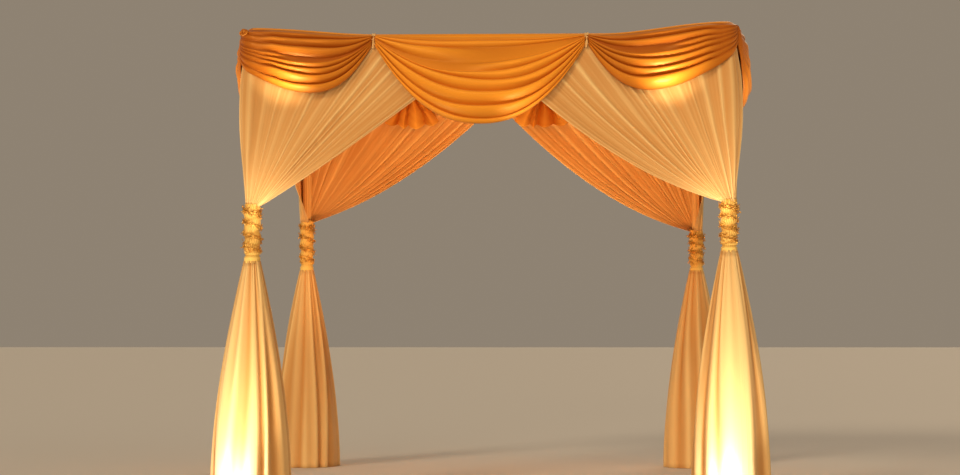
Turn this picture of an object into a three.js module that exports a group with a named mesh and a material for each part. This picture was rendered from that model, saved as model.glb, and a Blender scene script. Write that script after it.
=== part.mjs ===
// A chuppah canopy: a square pipe frame on four weighted posts, dressed with sheer panels that
// sweep to the posts, satin swags over the bars, tied wraps, garlands and bell skirts.
// Millimetres, +Z up. The origin is on the floor at the middle, and the front faces -Y.

import * as THREE from 'three';
import { mergeVertices } from 'three/addons/utils/BufferGeometryUtils.js';

// Frame
const POST_SPACING = 3048;
const HALF = POST_SPACING / 2;
const UPRIGHT_RADIUS = 25.4;
const UPRIGHT_BORE = 23;
const UPRIGHT_TOP = 2985;
const CAP_THICKNESS = 5;
const BAR_RADIUS = 19;
const BAR_HEIGHT = 2925;
const BASE_RADIUS = 200;
const BASE_THICKNESS = 12;
const BASE_BEVEL = 3;
const PIN_RADIUS = 22.4;
const PIN_TOP = 190;
const SEAT_GAP = 0.3;

// Sheer half panels, from the bar down to the tie on the post
const PANEL_TOP = BAR_HEIGHT + 12;
const PANEL_COLUMNS = 10;
const PANEL_ROWS = 7;
const PANEL_THICKNESS = 2.5;
const PANEL_FACE = BAR_RADIUS + SEAT_GAP;
const PANEL_LAYER = 7;
const PANEL_CORNER_LIFT = 12;
const PANEL_CORNER_BULGE = 34;
const PANEL_PLEAT_TOP = 1.4;
const PANEL_PLEAT = 7;
const PANEL_CORNER_SHARE = 0.16;
const PANEL_LAYER_FROM = 0.5;
const PANEL_GATHER_FROM = 0.55;
const PANEL_SAG_POWER = 1.5;
const PANEL_BULGE_POWER = 3;
const GATHER_RADIUS = 38;
const GATHER_FROM = THREE.MathUtils.degToRad(-38);
const GATHER_TO = THREE.MathUtils.degToRad(95);
const TIE_LIFT = 3;
const MITRE_GAP = 6;

// Satin swags, laid over the bar and tied at two nodes on each side
const SWAG_COLUMNS = 9;
const SWAG_FOLDS = 3;
const SWAG_THICKNESS = 4;
const SWAG_LIP_BACK = -8;
const SWAG_LIP_SETBACK = 5;
const SWAG_BODY_AT_NODE = 47;
const SWAG_BODY_AT_CORNER = 84;
const SWAG_NODE_GAP = 4;
const SWAG_NODE_HEIGHT = 50;
const SWAG_CORNER_HEIGHT = 170;
const SWAG_FOLD = 11;
const SWAG_RIM_POWER = 2.3;
const SWAG_PEAK_AT = 0.8;
const SWAG_RISE_FROM = 780;
const SWAG_RISE_TO = 110;

// Spare satin at each node, pulled over the bar and hanging inside it as a gathered fan
const TAIL_COLUMNS = 8;
const TAIL_ROWS = 4;
const TAIL_THICKNESS = 4;
const TAIL_DROP = 262;
const TAIL_TOP_HALF = 22;
const TAIL_RIM_HALF = 215;
const TAIL_SPREAD_POWER = 0.85;
const TAIL_RIM_ARCH = 0.12;
const TAIL_BELLY = 16;
const TAIL_FOLD = 34;

// Tied wraps, garlands and bell skirts on the posts
const WRAP_RADIUS = 53;
const WRAP_WAIST = 45;
const WRAP_PUFFS = 3;
const ROUND_SIDES = 16;
const GARLAND_RADIUS = 7;
const GARLAND_TURNS = 3.5;
const GARLAND_STEPS = 42;
const GARLAND_SIDES = 5;
const GARLAND_FROM = 60;
const GARLAND_TO = 12;
const GARLAND_PRESS = 0.4;
const SKIRT_PLEATS = 8;
const SKIRT_STEPS = 2;
const SKIRT_THICKNESS = 6;
const SKIRT_PLEAT_SHARE = 0.05;
const SKIRT_PROFILE = [
  [0, 60],
  [0.1, 96],
  [0.22, 131],
  [0.37, 172],
  [0.55, 205],
  [0.78, 236],
  [1, 252],
];

// Ceiling cloth between the bars, gathered into soft folds that run from side to side
const CEILING_COLUMNS = 7;
const CEILING_ROWS = 12;
const CEILING_EDGE = BAR_HEIGHT;
const CEILING_SAG = 190;
const CEILING_FOLD = 16;
const CEILING_THICKNESS = 8;

// How near two corners of a solid have to be to count as one
const MERGE_DISTANCE = 1e-3;

// Each side as seen from outside it: how far each panel's top reaches past the middle and how
// much its lower edge sags, where the two swag nodes are, and how far the three swags drop.
const SIDES = [
  {
    name: 'front',
    quarterTurns: 0,
    posts: ['left', 'right'],
    panels: [{ past: 30, sag: 40 }, { past: 100, sag: 155 }],
    nodes: [-745, 620],
    drops: [385, 575, 370],
    bulges: [60, 105, 60],
  },
  {
    name: 'right',
    quarterTurns: 1,
    posts: ['front', 'back'],
    panels: [{ past: 60, sag: 120 }, { past: 60, sag: 120 }],
    nodes: [-685, 685],
    drops: [430, 560, 400],
    bulges: [75, 105, 60],
  },
  {
    name: 'back',
    quarterTurns: 2,
    posts: ['right', 'left'],
    panels: [{ past: 100, sag: 170 }, { past: 45, sag: 135 }],
    nodes: [-330, 705],
    drops: [300, 280, 300],
    bulges: [45, 50, 45],
  },
  {
    name: 'left',
    quarterTurns: 3,
    posts: ['back', 'front'],
    panels: [{ past: 60, sag: 120 }, { past: 60, sag: 120 }],
    nodes: [-685, 685],
    drops: [400, 560, 430],
    bulges: [60, 105, 75],
  },
];

// Each post: which way it stands from the middle, and the lower and upper end of its wrap.
const POSTS = {
  front_left: { x: -1, y: -1, wrapLow: 1485, wrapHigh: 1845 },
  front_right: { x: 1, y: -1, wrapLow: 1548, wrapHigh: 1870 },
  back_left: { x: -1, y: 1, wrapLow: 1518, wrapHigh: 1900 },
  back_right: { x: 1, y: 1, wrapLow: 1514, wrapHigh: 1825 },
};

const STEEL = new THREE.MeshStandardMaterial({ color: 0x9a9da1, roughness: 0.45, metalness: 0.9 });
const SHEER = new THREE.MeshStandardMaterial({ color: 0xf3e3c4, roughness: 0.85, metalness: 0 });
const SATIN = new THREE.MeshStandardMaterial({ color: 0xc98a35, roughness: 0.4, metalness: 0 });
const GOLD_WIRE = new THREE.MeshStandardMaterial({ color: 0xb8872d, roughness: 0.3, metalness: 0.9 });

const canopy = new THREE.Group();

function smoothStep(from, to, value) {
  return THREE.MathUtils.smoothstep(value, from, to);
}

function signedVolume(positions, index) {
  const a = new THREE.Vector3();
  const b = new THREE.Vector3();
  const c = new THREE.Vector3();
  let volume = 0;
  for (let i = 0; i < index.length; i += 3) {
    a.fromArray(positions, index[i] * 3);
    b.fromArray(positions, index[i + 1] * 3);
    c.fromArray(positions, index[i + 2] * 3);
    volume += a.dot(b.cross(c)) / 6;
  }
  return volume;
}

// Merges a shape's corners and turns its faces outwards.
function closedSolid(geometry) {
  const bare = geometry.clone();
  bare.deleteAttribute('normal');
  bare.deleteAttribute('uv');
  const merged = mergeVertices(bare, MERGE_DISTANCE);
  const index = Array.from(merged.index.array);
  if (signedVolume(merged.attributes.position.array, index) < 0) {
    index.reverse();
  }
  merged.setIndex(index);
  merged.computeVertexNormals();
  return merged;
}

function addPiece(name, geometry, material) {
  const mesh = new THREE.Mesh(closedSolid(geometry), material.clone());
  mesh.name = name;
  canopy.add(mesh);
}

function meshFromCorners(corners, quads) {
  const geometry = new THREE.BufferGeometry();
  const positions = corners.flatMap((corner) => corner.toArray());
  const index = quads.flatMap(([a, b, c, d]) => [a, b, c, a, c, d]);
  geometry.setAttribute('position', new THREE.Float32BufferAttribute(positions, 3));
  geometry.setIndex(index);
  return geometry;
}

// A thin closed solid from a sheet of (columns + 1) by (rows + 1) points: the sheet itself and
// a copy moved by the thickness along its normals, on the side that faces the given direction.
function thickSheet(columns, rows, pointAt, thickness, facing) {
  const wide = columns + 1;
  const points = [];
  for (let row = 0; row <= rows; row += 1) {
    for (let column = 0; column <= columns; column += 1) {
      points.push(pointAt(column / columns, row, column));
    }
  }
  const at = (column, row) => points[
    THREE.MathUtils.clamp(row, 0, rows) * wide + THREE.MathUtils.clamp(column, 0, columns)];
  const normals = points.map((_, i) => {
    const column = i % wide;
    const row = Math.floor(i / wide);
    const along = at(column + 1, row).clone().sub(at(column - 1, row));
    const down = at(column, row + 1).clone().sub(at(column, row - 1));
    return along.cross(down).normalize();
  });
  const faces = normals.reduce((sum, normal) => sum + normal.dot(facing), 0);
  const reach = thickness * Math.sign(faces);
  const moved = points.map((point, i) => point.clone().addScaledVector(normals[i], reach));
  const count = points.length;
  const quads = [];
  for (let row = 0; row < rows; row += 1) {
    for (let column = 0; column < columns; column += 1) {
      const a = row * wide + column;
      const corners = [a, a + 1, a + 1 + wide, a + wide];
      quads.push(corners);
      quads.push(corners.map((corner) => corner + count).reverse());
    }
  }
  const rim = [];
  for (let column = 0; column < columns; column += 1) rim.push(column);
  for (let row = 0; row < rows; row += 1) rim.push(row * wide + columns);
  for (let column = columns; column > 0; column -= 1) rim.push(rows * wide + column);
  for (let row = rows; row > 0; row -= 1) rim.push(row * wide);
  rim.forEach((corner, i) => {
    const next = rim[(i + 1) % rim.length];
    quads.push([corner, corner + count, next + count, next]);
  });
  return meshFromCorners([...points, ...moved], quads);
}

// A ring-shaped closed solid: loopAt gives the corners of its closed section at each step round.
function ringSolid(steps, loopAt) {
  const loops = [];
  for (let step = 0; step < steps; step += 1) {
    loops.push(loopAt((step / steps) * 2 * Math.PI, step));
  }
  const size = loops[0].length;
  const quads = [];
  for (let step = 0; step < steps; step += 1) {
    const here = step * size;
    const there = ((step + 1) % steps) * size;
    for (let i = 0; i < size; i += 1) {
      const next = (i + 1) % size;
      quads.push([here + i, there + i, there + next, here + next]);
    }
  }
  return meshFromCorners(loops.flat(), quads);
}

function lathe(outline, sides) {
  const profile = outline.map(([radius, height]) => new THREE.Vector2(radius, height));
  return new THREE.LatheGeometry(profile, sides).rotateX(Math.PI / 2);
}

function turnSide(geometry, side) {
  return geometry.rotateZ(side.quarterTurns * Math.PI / 2);
}

// A point of a side: along it to the right as seen from outside, outwards from the bar, and up.
function sidePoint(along, outwards, height) {
  return new THREE.Vector3(along, -HALF - outwards, height);
}

const SIDE_FACING = new THREE.Vector3(0, -1, 0.5);

function addBase(name, post) {
  const plate = lathe([
    [0, 0],
    [BASE_RADIUS, 0],
    [BASE_RADIUS, BASE_THICKNESS - BASE_BEVEL],
    [BASE_RADIUS - BASE_BEVEL, BASE_THICKNESS],
    [PIN_RADIUS, BASE_THICKNESS],
    [PIN_RADIUS, PIN_TOP],
    [0, PIN_TOP],
  ], ROUND_SIDES);
  addPiece(`base_plate_${name}`, plate.translate(post.x * HALF, post.y * HALF, 0), STEEL);
}

function addUpright(name, post) {
  const pipe = lathe([
    [0, UPRIGHT_TOP - CAP_THICKNESS],
    [UPRIGHT_BORE, UPRIGHT_TOP - CAP_THICKNESS],
    [UPRIGHT_BORE, BASE_THICKNESS + SEAT_GAP],
    [UPRIGHT_RADIUS, BASE_THICKNESS + SEAT_GAP],
    [UPRIGHT_RADIUS, UPRIGHT_TOP],
    [0, UPRIGHT_TOP],
  ], ROUND_SIDES);
  addPiece(`upright_${name}`, pipe.translate(post.x * HALF, post.y * HALF, 0), STEEL);
}

function addCrossbar(side) {
  const length = 2 * (HALF - UPRIGHT_RADIUS - SEAT_GAP);
  const bar = new THREE.CylinderGeometry(BAR_RADIUS, BAR_RADIUS, length, ROUND_SIDES);
  bar.rotateZ(Math.PI / 2).translate(0, -HALF, BAR_HEIGHT);
  addPiece(`crossbar_${side.name}`, turnSide(bar, side), STEEL);
}

// One half panel, for the left post of its side. Its top runs along the bar from the post to
// a little past the middle, and every pleat runs from there down to the tie on the post.
function panelSheet(panel, tieHeight, layer) {
  const span = HALF + panel.past;
  const pointAt = (across, row, column) => {
    const down = row / PANEL_ROWS;
    const pleat = column % 2 === 0 ? 0 : 1;
    const pleatDepth = THREE.MathUtils.lerp(PANEL_PLEAT_TOP, PANEL_PLEAT, Math.sin(Math.PI * down));
    const nearPost = 1 - smoothStep(0, PANEL_CORNER_SHARE, across);
    const cornerBulge = PANEL_CORNER_BULGE * (1 - across) ** PANEL_BULGE_POWER
      * Math.sin(Math.PI * Math.sqrt(down));
    const face = PANEL_FACE + layer * smoothStep(PANEL_LAYER_FROM, 1, across) + PANEL_CORNER_LIFT * nearPost
      + cornerBulge + pleat * pleatDepth;
    const turn = THREE.MathUtils.lerp(GATHER_FROM, GATHER_TO, across);
    const radius = GATHER_RADIUS + pleat * PANEL_PLEAT_TOP;
    const tieAlong = -HALF + radius * Math.sin(turn);
    const tieOutwards = radius * Math.cos(turn);
    const topAlong = -HALF - (face - MITRE_GAP) * (1 - across) + span * across;
    const along = THREE.MathUtils.lerp(topAlong, tieAlong, down);
    const outwards = THREE.MathUtils.lerp(face, tieOutwards, smoothStep(PANEL_GATHER_FROM, 1, down));
    const sag = panel.sag * across ** PANEL_SAG_POWER * 4 * down * (1 - down);
    const height = THREE.MathUtils.lerp(PANEL_TOP, tieHeight, down) - sag;
    return sidePoint(along, outwards, height);
  };
  return thickSheet(PANEL_COLUMNS, PANEL_ROWS, pointAt, PANEL_THICKNESS, SIDE_FACING);
}

function postName(side, end) {
  const at = side.posts[end];
  const isFrontOrBack = side.name === 'front' || side.name === 'back';
  return isFrontOrBack ? `${side.name}_${at}` : `${at}_${side.name}`;
}

function addPanels(side) {
  side.panels.forEach((panel, end) => {
    const tieHeight = POSTS[postName(side, end)].wrapHigh + TIE_LIFT;
    const sheet = panelSheet(panel, tieHeight, end * PANEL_LAYER);
    if (end === 1) {
      sheet.scale(-1, 1, 1);
    }
    addPiece(`panel_${side.name}_${side.posts[end]}`, turnSide(sheet, side), SHEER);
  });
}

// One swag between two places on its side. A swag that ends at a corner rises over the post's
// top there and stops at the corner's mitre, and its cloth is wider there than at a node.
function swagSheet(left, right, drop, bulge) {
  const rows = 2 * SWAG_FOLDS + 1;
  const topAt = (place) => {
    const rise = smoothStep(HALF - SWAG_RISE_FROM, HALF - SWAG_RISE_TO, Math.abs(place));
    const onBar = BAR_HEIGHT + BAR_RADIUS + SEAT_GAP;
    return THREE.MathUtils.lerp(onBar, UPRIGHT_TOP + SEAT_GAP, rise);
  };
  const pointAt = (across, row, column) => {
    const width = THREE.MathUtils.lerp(
      left.corner ? SWAG_CORNER_HEIGHT : SWAG_NODE_HEIGHT,
      right.corner ? SWAG_CORNER_HEIGHT : SWAG_NODE_HEIGHT,
      across,
    );
    const body = THREE.MathUtils.lerp(
      left.corner ? SWAG_BODY_AT_CORNER : SWAG_BODY_AT_NODE,
      right.corner ? SWAG_BODY_AT_CORNER : SWAG_BODY_AT_NODE,
      across,
    );
    const hang = 1 - Math.abs(2 * across - 1) ** SWAG_RIM_POWER;
    const down = Math.max(0, (row - 1) / (rows - 1));
    let outwards = body + bulge * hang * Math.sin(Math.PI * SWAG_PEAK_AT * down)
      + (row % 2 === 0 ? SWAG_FOLD * hang : 0);
    if (row === 0) {
      outwards = SWAG_LIP_BACK;
    } else if (row === 1) {
      outwards = body - SWAG_LIP_SETBACK;
    }
    const reachLeft = left.corner ? outwards - MITRE_GAP : 0;
    const reachRight = right.corner ? outwards - MITRE_GAP : 0;
    const along = THREE.MathUtils.lerp(left.at - reachLeft, right.at + reachRight, across);
    const height = topAt(along) - down * (width + (drop - width) * hang);
    return sidePoint(along, outwards, height);
  };
  return thickSheet(SWAG_COLUMNS, rows, pointAt, SWAG_THICKNESS, SIDE_FACING);
}

function addSwags(side) {
  const [leftNode, rightNode] = side.nodes;
  const ends = [
    [{ at: -HALF, corner: true }, { at: leftNode - SWAG_NODE_GAP }],
    [{ at: leftNode + SWAG_NODE_GAP }, { at: rightNode - SWAG_NODE_GAP }],
    [{ at: rightNode + SWAG_NODE_GAP }, { at: HALF, corner: true }],
  ];
  const places = [side.posts[0], 'middle', side.posts[1]];
  ends.forEach(([left, right], i) => {
    const sheet = swagSheet(left, right, side.drops[i], side.bulges[i]);
    addPiece(`swag_${side.name}_${places[i]}`, turnSide(sheet, side), SATIN);
  });
}

// A tail fans out from its node, just below the bar, and every other fold is pushed inwards.
function tailSheet(node) {
  const top = BAR_HEIGHT - BAR_RADIUS - SEAT_GAP;
  const pointAt = (across, row, column) => {
    const down = row / TAIL_ROWS;
    const fromMiddle = 2 * across - 1;
    const half = THREE.MathUtils.lerp(TAIL_TOP_HALF, TAIL_RIM_HALF, down ** TAIL_SPREAD_POWER);
    const fold = column % 2 === 0 ? 0 : TAIL_FOLD * down;
    const outwards = -TAIL_BELLY * Math.sin(Math.PI * down) - fold;
    const height = top - TAIL_DROP * down * (1 - TAIL_RIM_ARCH * fromMiddle ** 2);
    return sidePoint(node + half * fromMiddle, outwards, height);
  };
  return thickSheet(TAIL_COLUMNS, TAIL_ROWS, pointAt, TAIL_THICKNESS, SIDE_FACING);
}

function addTails(side) {
  side.nodes.forEach((node, end) => {
    addPiece(`tail_${side.name}_${side.posts[end]}`, turnSide(tailSheet(node), side), SATIN);
  });
}

function addWrap(name, post) {
  const height = post.wrapHigh - post.wrapLow;
  const inside = UPRIGHT_RADIUS + SEAT_GAP;
  const outline = [[inside, post.wrapLow]];
  for (let i = 0; i <= 2 * WRAP_PUFFS; i += 1) {
    const radius = i % 2 === 0 ? WRAP_WAIST : WRAP_RADIUS;
    outline.push([radius, post.wrapLow + (height * i) / (2 * WRAP_PUFFS)]);
  }
  outline.push([inside, post.wrapHigh], [inside, post.wrapLow]);
  const wrap = lathe(outline, ROUND_SIDES);
  addPiece(`post_wrap_${name}`, wrap.translate(post.x * HALF, post.y * HALF, 0), SHEER);
}

class Helix extends THREE.Curve {
  constructor(radius, low, high, turns) {
    super();
    Object.assign(this, { radius, low, high, turns });
  }

  getPoint(t, target = new THREE.Vector3()) {
    const angle = 2 * Math.PI * this.turns * t;
    const height = THREE.MathUtils.lerp(this.low, this.high, t);
    return target.set(this.radius * Math.cos(angle), this.radius * Math.sin(angle), height);
  }
}

function addGarland(name, post) {
  const section = new THREE.Shape();
  section.absarc(0, 0, GARLAND_RADIUS, 0, 2 * Math.PI);
  const clear = WRAP_RADIUS + GARLAND_RADIUS - GARLAND_PRESS;
  const radius = clear / Math.cos((Math.PI * GARLAND_TURNS) / GARLAND_STEPS);
  const path = new Helix(radius, post.wrapLow + GARLAND_FROM, post.wrapHigh - GARLAND_TO, GARLAND_TURNS);
  const points = section.getPoints(GARLAND_SIDES).slice(0, GARLAND_SIDES);
  const rope = new THREE.ExtrudeGeometry(new THREE.Shape(points), {
    steps: GARLAND_STEPS,
    extrudePath: path,
  });
  addPiece(`garland_${name}`, rope.translate(post.x * HALF, post.y * HALF, 0), GOLD_WIRE);
}

// A bell of pleated cloth from the wrap to the floor, open below, with its gathered top closed
// round the upright.
function addSkirt(name, post) {
  const top = post.wrapLow - SEAT_GAP;
  const skirt = ringSolid(SKIRT_PLEATS * SKIRT_STEPS, (turn) => {
    const pleat = Math.cos(SKIRT_PLEATS * turn);
    const outside = SKIRT_PROFILE.map(([share, radius]) => [
      radius * (1 + SKIRT_PLEAT_SHARE * pleat * Math.sqrt(share)),
      top * (1 - share),
    ]);
    const inside = outside.map(([radius, height], i) => [
      i === 0 ? UPRIGHT_RADIUS + SEAT_GAP : radius - SKIRT_THICKNESS,
      height,
    ]);
    return [...outside, ...inside.reverse()].map(([radius, height]) => new THREE.Vector3(
      radius * Math.cos(turn),
      radius * Math.sin(turn),
      height,
    ));
  });
  addPiece(`skirt_${name}`, skirt.translate(post.x * HALF, post.y * HALF, 0), SHEER);
}

function addCeiling() {
  const reach = HALF - BAR_RADIUS - SEAT_GAP;
  const pointAt = (across, row) => {
    const x = 2 * across - 1;
    const y = (2 * row) / CEILING_ROWS - 1;
    const deepest = row % 2 === 0 ? CEILING_SAG - CEILING_FOLD : CEILING_SAG;
    const sag = deepest * (1 - x ** 2) * (1 - y ** 2);
    return new THREE.Vector3(x * reach, y * reach, CEILING_EDGE - sag);
  };
  const facing = new THREE.Vector3(0, 0, 1);
  const cloth = thickSheet(CEILING_COLUMNS, CEILING_ROWS, pointAt, CEILING_THICKNESS, facing);
  addPiece('ceiling_cloth', cloth, SHEER);
}

for (const [name, post] of Object.entries(POSTS)) {
  addBase(name, post);
  addUpright(name, post);
  addSkirt(name, post);
  addWrap(name, post);
  addGarland(name, post);
}
for (const side of SIDES) {
  addCrossbar(side);
  addPanels(side);
  addSwags(side);
  addTails(side);
}
addCeiling();

export default canopy;
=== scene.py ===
# %% [markdown]
# # Dressing a chuppah canopy
# A chuppah of this kind is a square pipe frame on four weighted posts. Sheer half panels hang
# from its bars and sweep to the posts, satin swags lie over the bars, and bell skirts hide the
# posts down to the floor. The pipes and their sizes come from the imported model. This lesson
# makes the cloths as real surfaces with folds, gives every surface a finish, and lights it all.

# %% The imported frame
import math
from collections import namedtuple
from functools import partial

import bpy
import numpy as np
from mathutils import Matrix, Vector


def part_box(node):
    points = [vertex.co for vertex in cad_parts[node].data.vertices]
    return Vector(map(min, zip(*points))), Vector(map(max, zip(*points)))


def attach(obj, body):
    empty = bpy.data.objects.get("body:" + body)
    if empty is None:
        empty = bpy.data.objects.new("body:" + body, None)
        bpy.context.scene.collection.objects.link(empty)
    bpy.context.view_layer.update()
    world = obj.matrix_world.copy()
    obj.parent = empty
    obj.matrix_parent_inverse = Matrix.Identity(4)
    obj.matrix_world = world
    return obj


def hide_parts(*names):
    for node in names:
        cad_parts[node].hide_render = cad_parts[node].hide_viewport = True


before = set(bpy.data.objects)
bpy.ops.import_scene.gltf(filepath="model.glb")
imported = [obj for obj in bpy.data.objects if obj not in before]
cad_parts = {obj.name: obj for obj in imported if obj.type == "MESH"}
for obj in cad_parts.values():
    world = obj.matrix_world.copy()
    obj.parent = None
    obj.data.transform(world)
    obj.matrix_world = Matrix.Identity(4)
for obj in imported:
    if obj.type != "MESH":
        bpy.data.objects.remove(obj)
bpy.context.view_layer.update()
print("CAD nodes:", len(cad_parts))

# %% [markdown]
# ## Sizes from the frame
# Everything is placed from the posts and bars, so the cloths always fit the pipes. The script
# reads each size once, from the boxes of the CAD nodes, and works in metres.

# %% Sizes read from the frame
POSTS = {"front_left": (-1, -1), "front_right": (1, -1), "back_left": (-1, 1), "back_right": (1, 1)}


def box_centre(node):
    """The middle of a CAD node's box."""
    low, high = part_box(node)
    return (low + high) / 2


upright_low, upright_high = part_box("upright_front_right")
half_span = box_centre("upright_front_right").x
upright_top = upright_high.z
upright_radius = (upright_high.x - upright_low.x) / 2
bar_height = box_centre("crossbar_front").z
bar_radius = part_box("crossbar_front")[1].z - bar_height
print(f"posts {2 * half_span:.3f} m apart, bars at {bar_height:.3f} m")

# %% [markdown]
# ## Camera
# A camera match starts from what the picture shows: how far apart the front and back posts are,
# and where the level lines that run away from us would meet. The ratio of the two gives the
# distance, and the meeting point gives the small turn and tilt, so no lens shift is needed.

# %% Camera
PICTURE = (960, 475)
FOCAL_PIXELS = 2120.0
MEETING_POINT = (551.0, 334.0)
EYE = (0.39, -15.05, 1.03)
SENSOR = 36.0


def new_object(name, data):
    """An object in the scene, at the origin."""
    made = bpy.data.objects.new(name, data)
    bpy.context.scene.collection.objects.link(made)
    return made


tilt = math.atan((MEETING_POINT[1] - PICTURE[1] / 2) / FOCAL_PIXELS)
turn = math.atan((MEETING_POINT[0] - PICTURE[0] / 2) * math.cos(tilt) / FOCAL_PIXELS)
camera = new_object("camera", bpy.data.cameras.new("camera"))
camera.location = EYE
camera.rotation_euler = (math.pi / 2 + tilt, 0.0, turn)
camera.data.sensor_width = SENSOR
camera.data.lens = SENSOR * FOCAL_PIXELS / PICTURE[0]
bpy.context.scene.camera = camera
bpy.context.scene.view_settings.view_transform = "Standard"
print(f"lens {camera.data.lens:.1f} mm, turned {math.degrees(turn):.2f} degrees")

# %% [markdown]
# ## Short ways to write nodes
# Node trees get long when every link is a line of its own. These helpers take an input as a
# number or as a socket to join, so that a tree reads like the formula that it stands for. The
# material trees and the Geometry Nodes trees both use them.

# %% Node helpers
def set_inputs(tree, node, inputs):
    """Sets a node's inputs to values, or joins them to sockets."""
    for socket, value in inputs.items():
        if isinstance(value, bpy.types.NodeSocket):
            tree.links.new(value, node.inputs[socket])
        else:
            node.inputs[socket].default_value = value


def add_node(tree, kind, inputs=None, **settings):
    """A node with its settings and inputs."""
    node = tree.nodes.new(kind)
    for setting, value in settings.items():
        setattr(node, setting, value)
    set_inputs(tree, node, inputs or {})
    return node


def add_math(tree, operation, *values):
    """The result of a Math node on up to three sockets or numbers."""
    return add_node(tree, "ShaderNodeMath", dict(enumerate(values)), operation=operation).outputs[0]


def arithmetic(tree):
    """Plus, minus and times in a tree, each on two sockets or numbers."""
    return (partial(add_math, tree, operation) for operation in ("ADD", "SUBTRACT", "MULTIPLY"))


def add_vector(tree, x, y, z=0.0):
    """A vector of three sockets or numbers."""
    return add_node(tree, "ShaderNodeCombineXYZ", {"X": x, "Y": y, "Z": z}).outputs[0]


def add_noise(tree, vector, scale=1.0, detail=2.0, **finer):
    """The grey value of a Noise texture, read at a vector."""
    inputs = {"Vector": vector, "Scale": scale, "Detail": detail, **finer}
    return add_node(tree, "ShaderNodeTexNoise", inputs).outputs["Fac"]


# %% [markdown]
# ## Shared effects for the materials
# Cloth shows two things up close: the threads, and fine creases that run along the fall of the
# folds. Both are used by every cloth here, so each is a node group that is made once and placed
# in each material with its own numbers. They read the cloth's own UV map, in metres, so that
# the pattern follows the surface.

# %% Group helpers
def new_group(name, numbers):
    """A shader node group with a vector and named numbers as inputs, and its input sockets."""
    tree = bpy.data.node_groups.new(name, "ShaderNodeTree")
    tree.interface.new_socket(name="Vector", in_out="INPUT", socket_type="NodeSocketVector")
    for socket, value in numbers.items():
        made = tree.interface.new_socket(name=socket, in_out="INPUT", socket_type="NodeSocketFloat")
        made.default_value = value
    return tree, tree.nodes.new("NodeGroupInput").outputs


def end_group(tree, results):
    """Gives a group its named outputs, each from the socket that makes it."""
    for socket in results:
        tree.interface.new_socket(name=socket, in_out="OUTPUT", socket_type="NodeSocketFloat")
    add_node(tree, "NodeGroupOutput", results)
    print("made", tree.name)
    return tree


def scale_vector(tree, vector, factors):
    """A vector multiplied by three numbers or sockets."""
    parts = add_node(tree, "ShaderNodeSeparateXYZ", {0: vector}).outputs
    return add_vector(tree, *(add_math(tree, "MULTIPLY", *pair) for pair in zip(parts, factors)))


# %% Thread and crease groups
SLUBS_PER_METRE = (160.0, 14.0, 1.0)
SHADES_PER_METRE = 1.3


def make_thread_group():
    """Threads crossing at right angles: a height, and the slubs where the yarn is thicker."""
    tree, given = new_group("woven_threads", {"Threads per metre": 700.0})
    spot = add_node(tree, "ShaderNodeSeparateXYZ", {0: given["Vector"]}).outputs
    waves = []
    for axis in "XY":
        threads = add_math(tree, "MULTIPLY", spot[axis], given["Threads per metre"])
        angle = add_math(tree, "MULTIPLY", threads, math.tau)
        waves.append(add_math(tree, "ABSOLUTE", add_math(tree, "SINE", angle)))
    return end_group(tree, {
        "Height": add_math(tree, "MULTIPLY", *waves),
        "Slub": add_noise(tree, scale_vector(tree, given["Vector"], SLUBS_PER_METRE)),
    })


def make_crease_group():
    """Fine creases that run along the fall of the cloth, and a slow change of shade."""
    tree, given = new_group("fine_creases", {"Across per metre": 40.0, "Along per metre": 2.0})
    spacing = (given["Across per metre"], given["Along per metre"], 1.0)
    stretched = scale_vector(tree, given["Vector"], spacing)
    return end_group(tree, {
        "Height": add_noise(tree, stretched, detail=3.0, Roughness=0.55, Distortion=0.3),
        "Shade": add_noise(tree, given["Vector"], SHADES_PER_METRE),
    })


thread_group = make_thread_group()
crease_group = make_crease_group()

# %% [markdown]
# ## Cloth materials
# Satin is smooth along its floating threads, so its highlights are long and soft. Voile is a
# matt open weave whose folds look denser where the cloth doubles up. Both come from one
# function: the colour runs from painted shade in the folds, which in the voile also stands for
# its denser doubled cloth, to painted light on their crests, by an attribute that the mesh
# carries, and the threads and creases feed one bump each.

# %% Cloth materials
CREASE_HEIGHT = 0.004
THREAD_HEIGHT = 0.0004
SHADE_CHANGE = 0.5
SLUB_CHANGE = 0.12
SHEEN_ROUGHNESS = 0.4
GOLDEN_GLOSS = (1.0, 0.62, 0.24)
IVORY_GLOSS = (1.0, 0.84, 0.58)


def new_material(name):
    """A material, its node tree and its shader."""
    material = bpy.data.materials.new(name)
    material.use_nodes = True
    return material, material.node_tree, material.node_tree.nodes["Principled BSDF"]


def mix_colours(tree, share, first, second):
    """A colour that runs from the first to the second by a mask."""
    colours = {"Factor": share, "A": (*first, 1.0), "B": (*second, 1.0)}
    return add_node(tree, "ShaderNodeMix", colours, data_type="RGBA").outputs["Result"]


def vary(tree, mask, middle, change):
    """A number that changes about its middle by a mask."""
    return add_math(tree, "MULTIPLY_ADD", mask, change, middle - change / 2)


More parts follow.
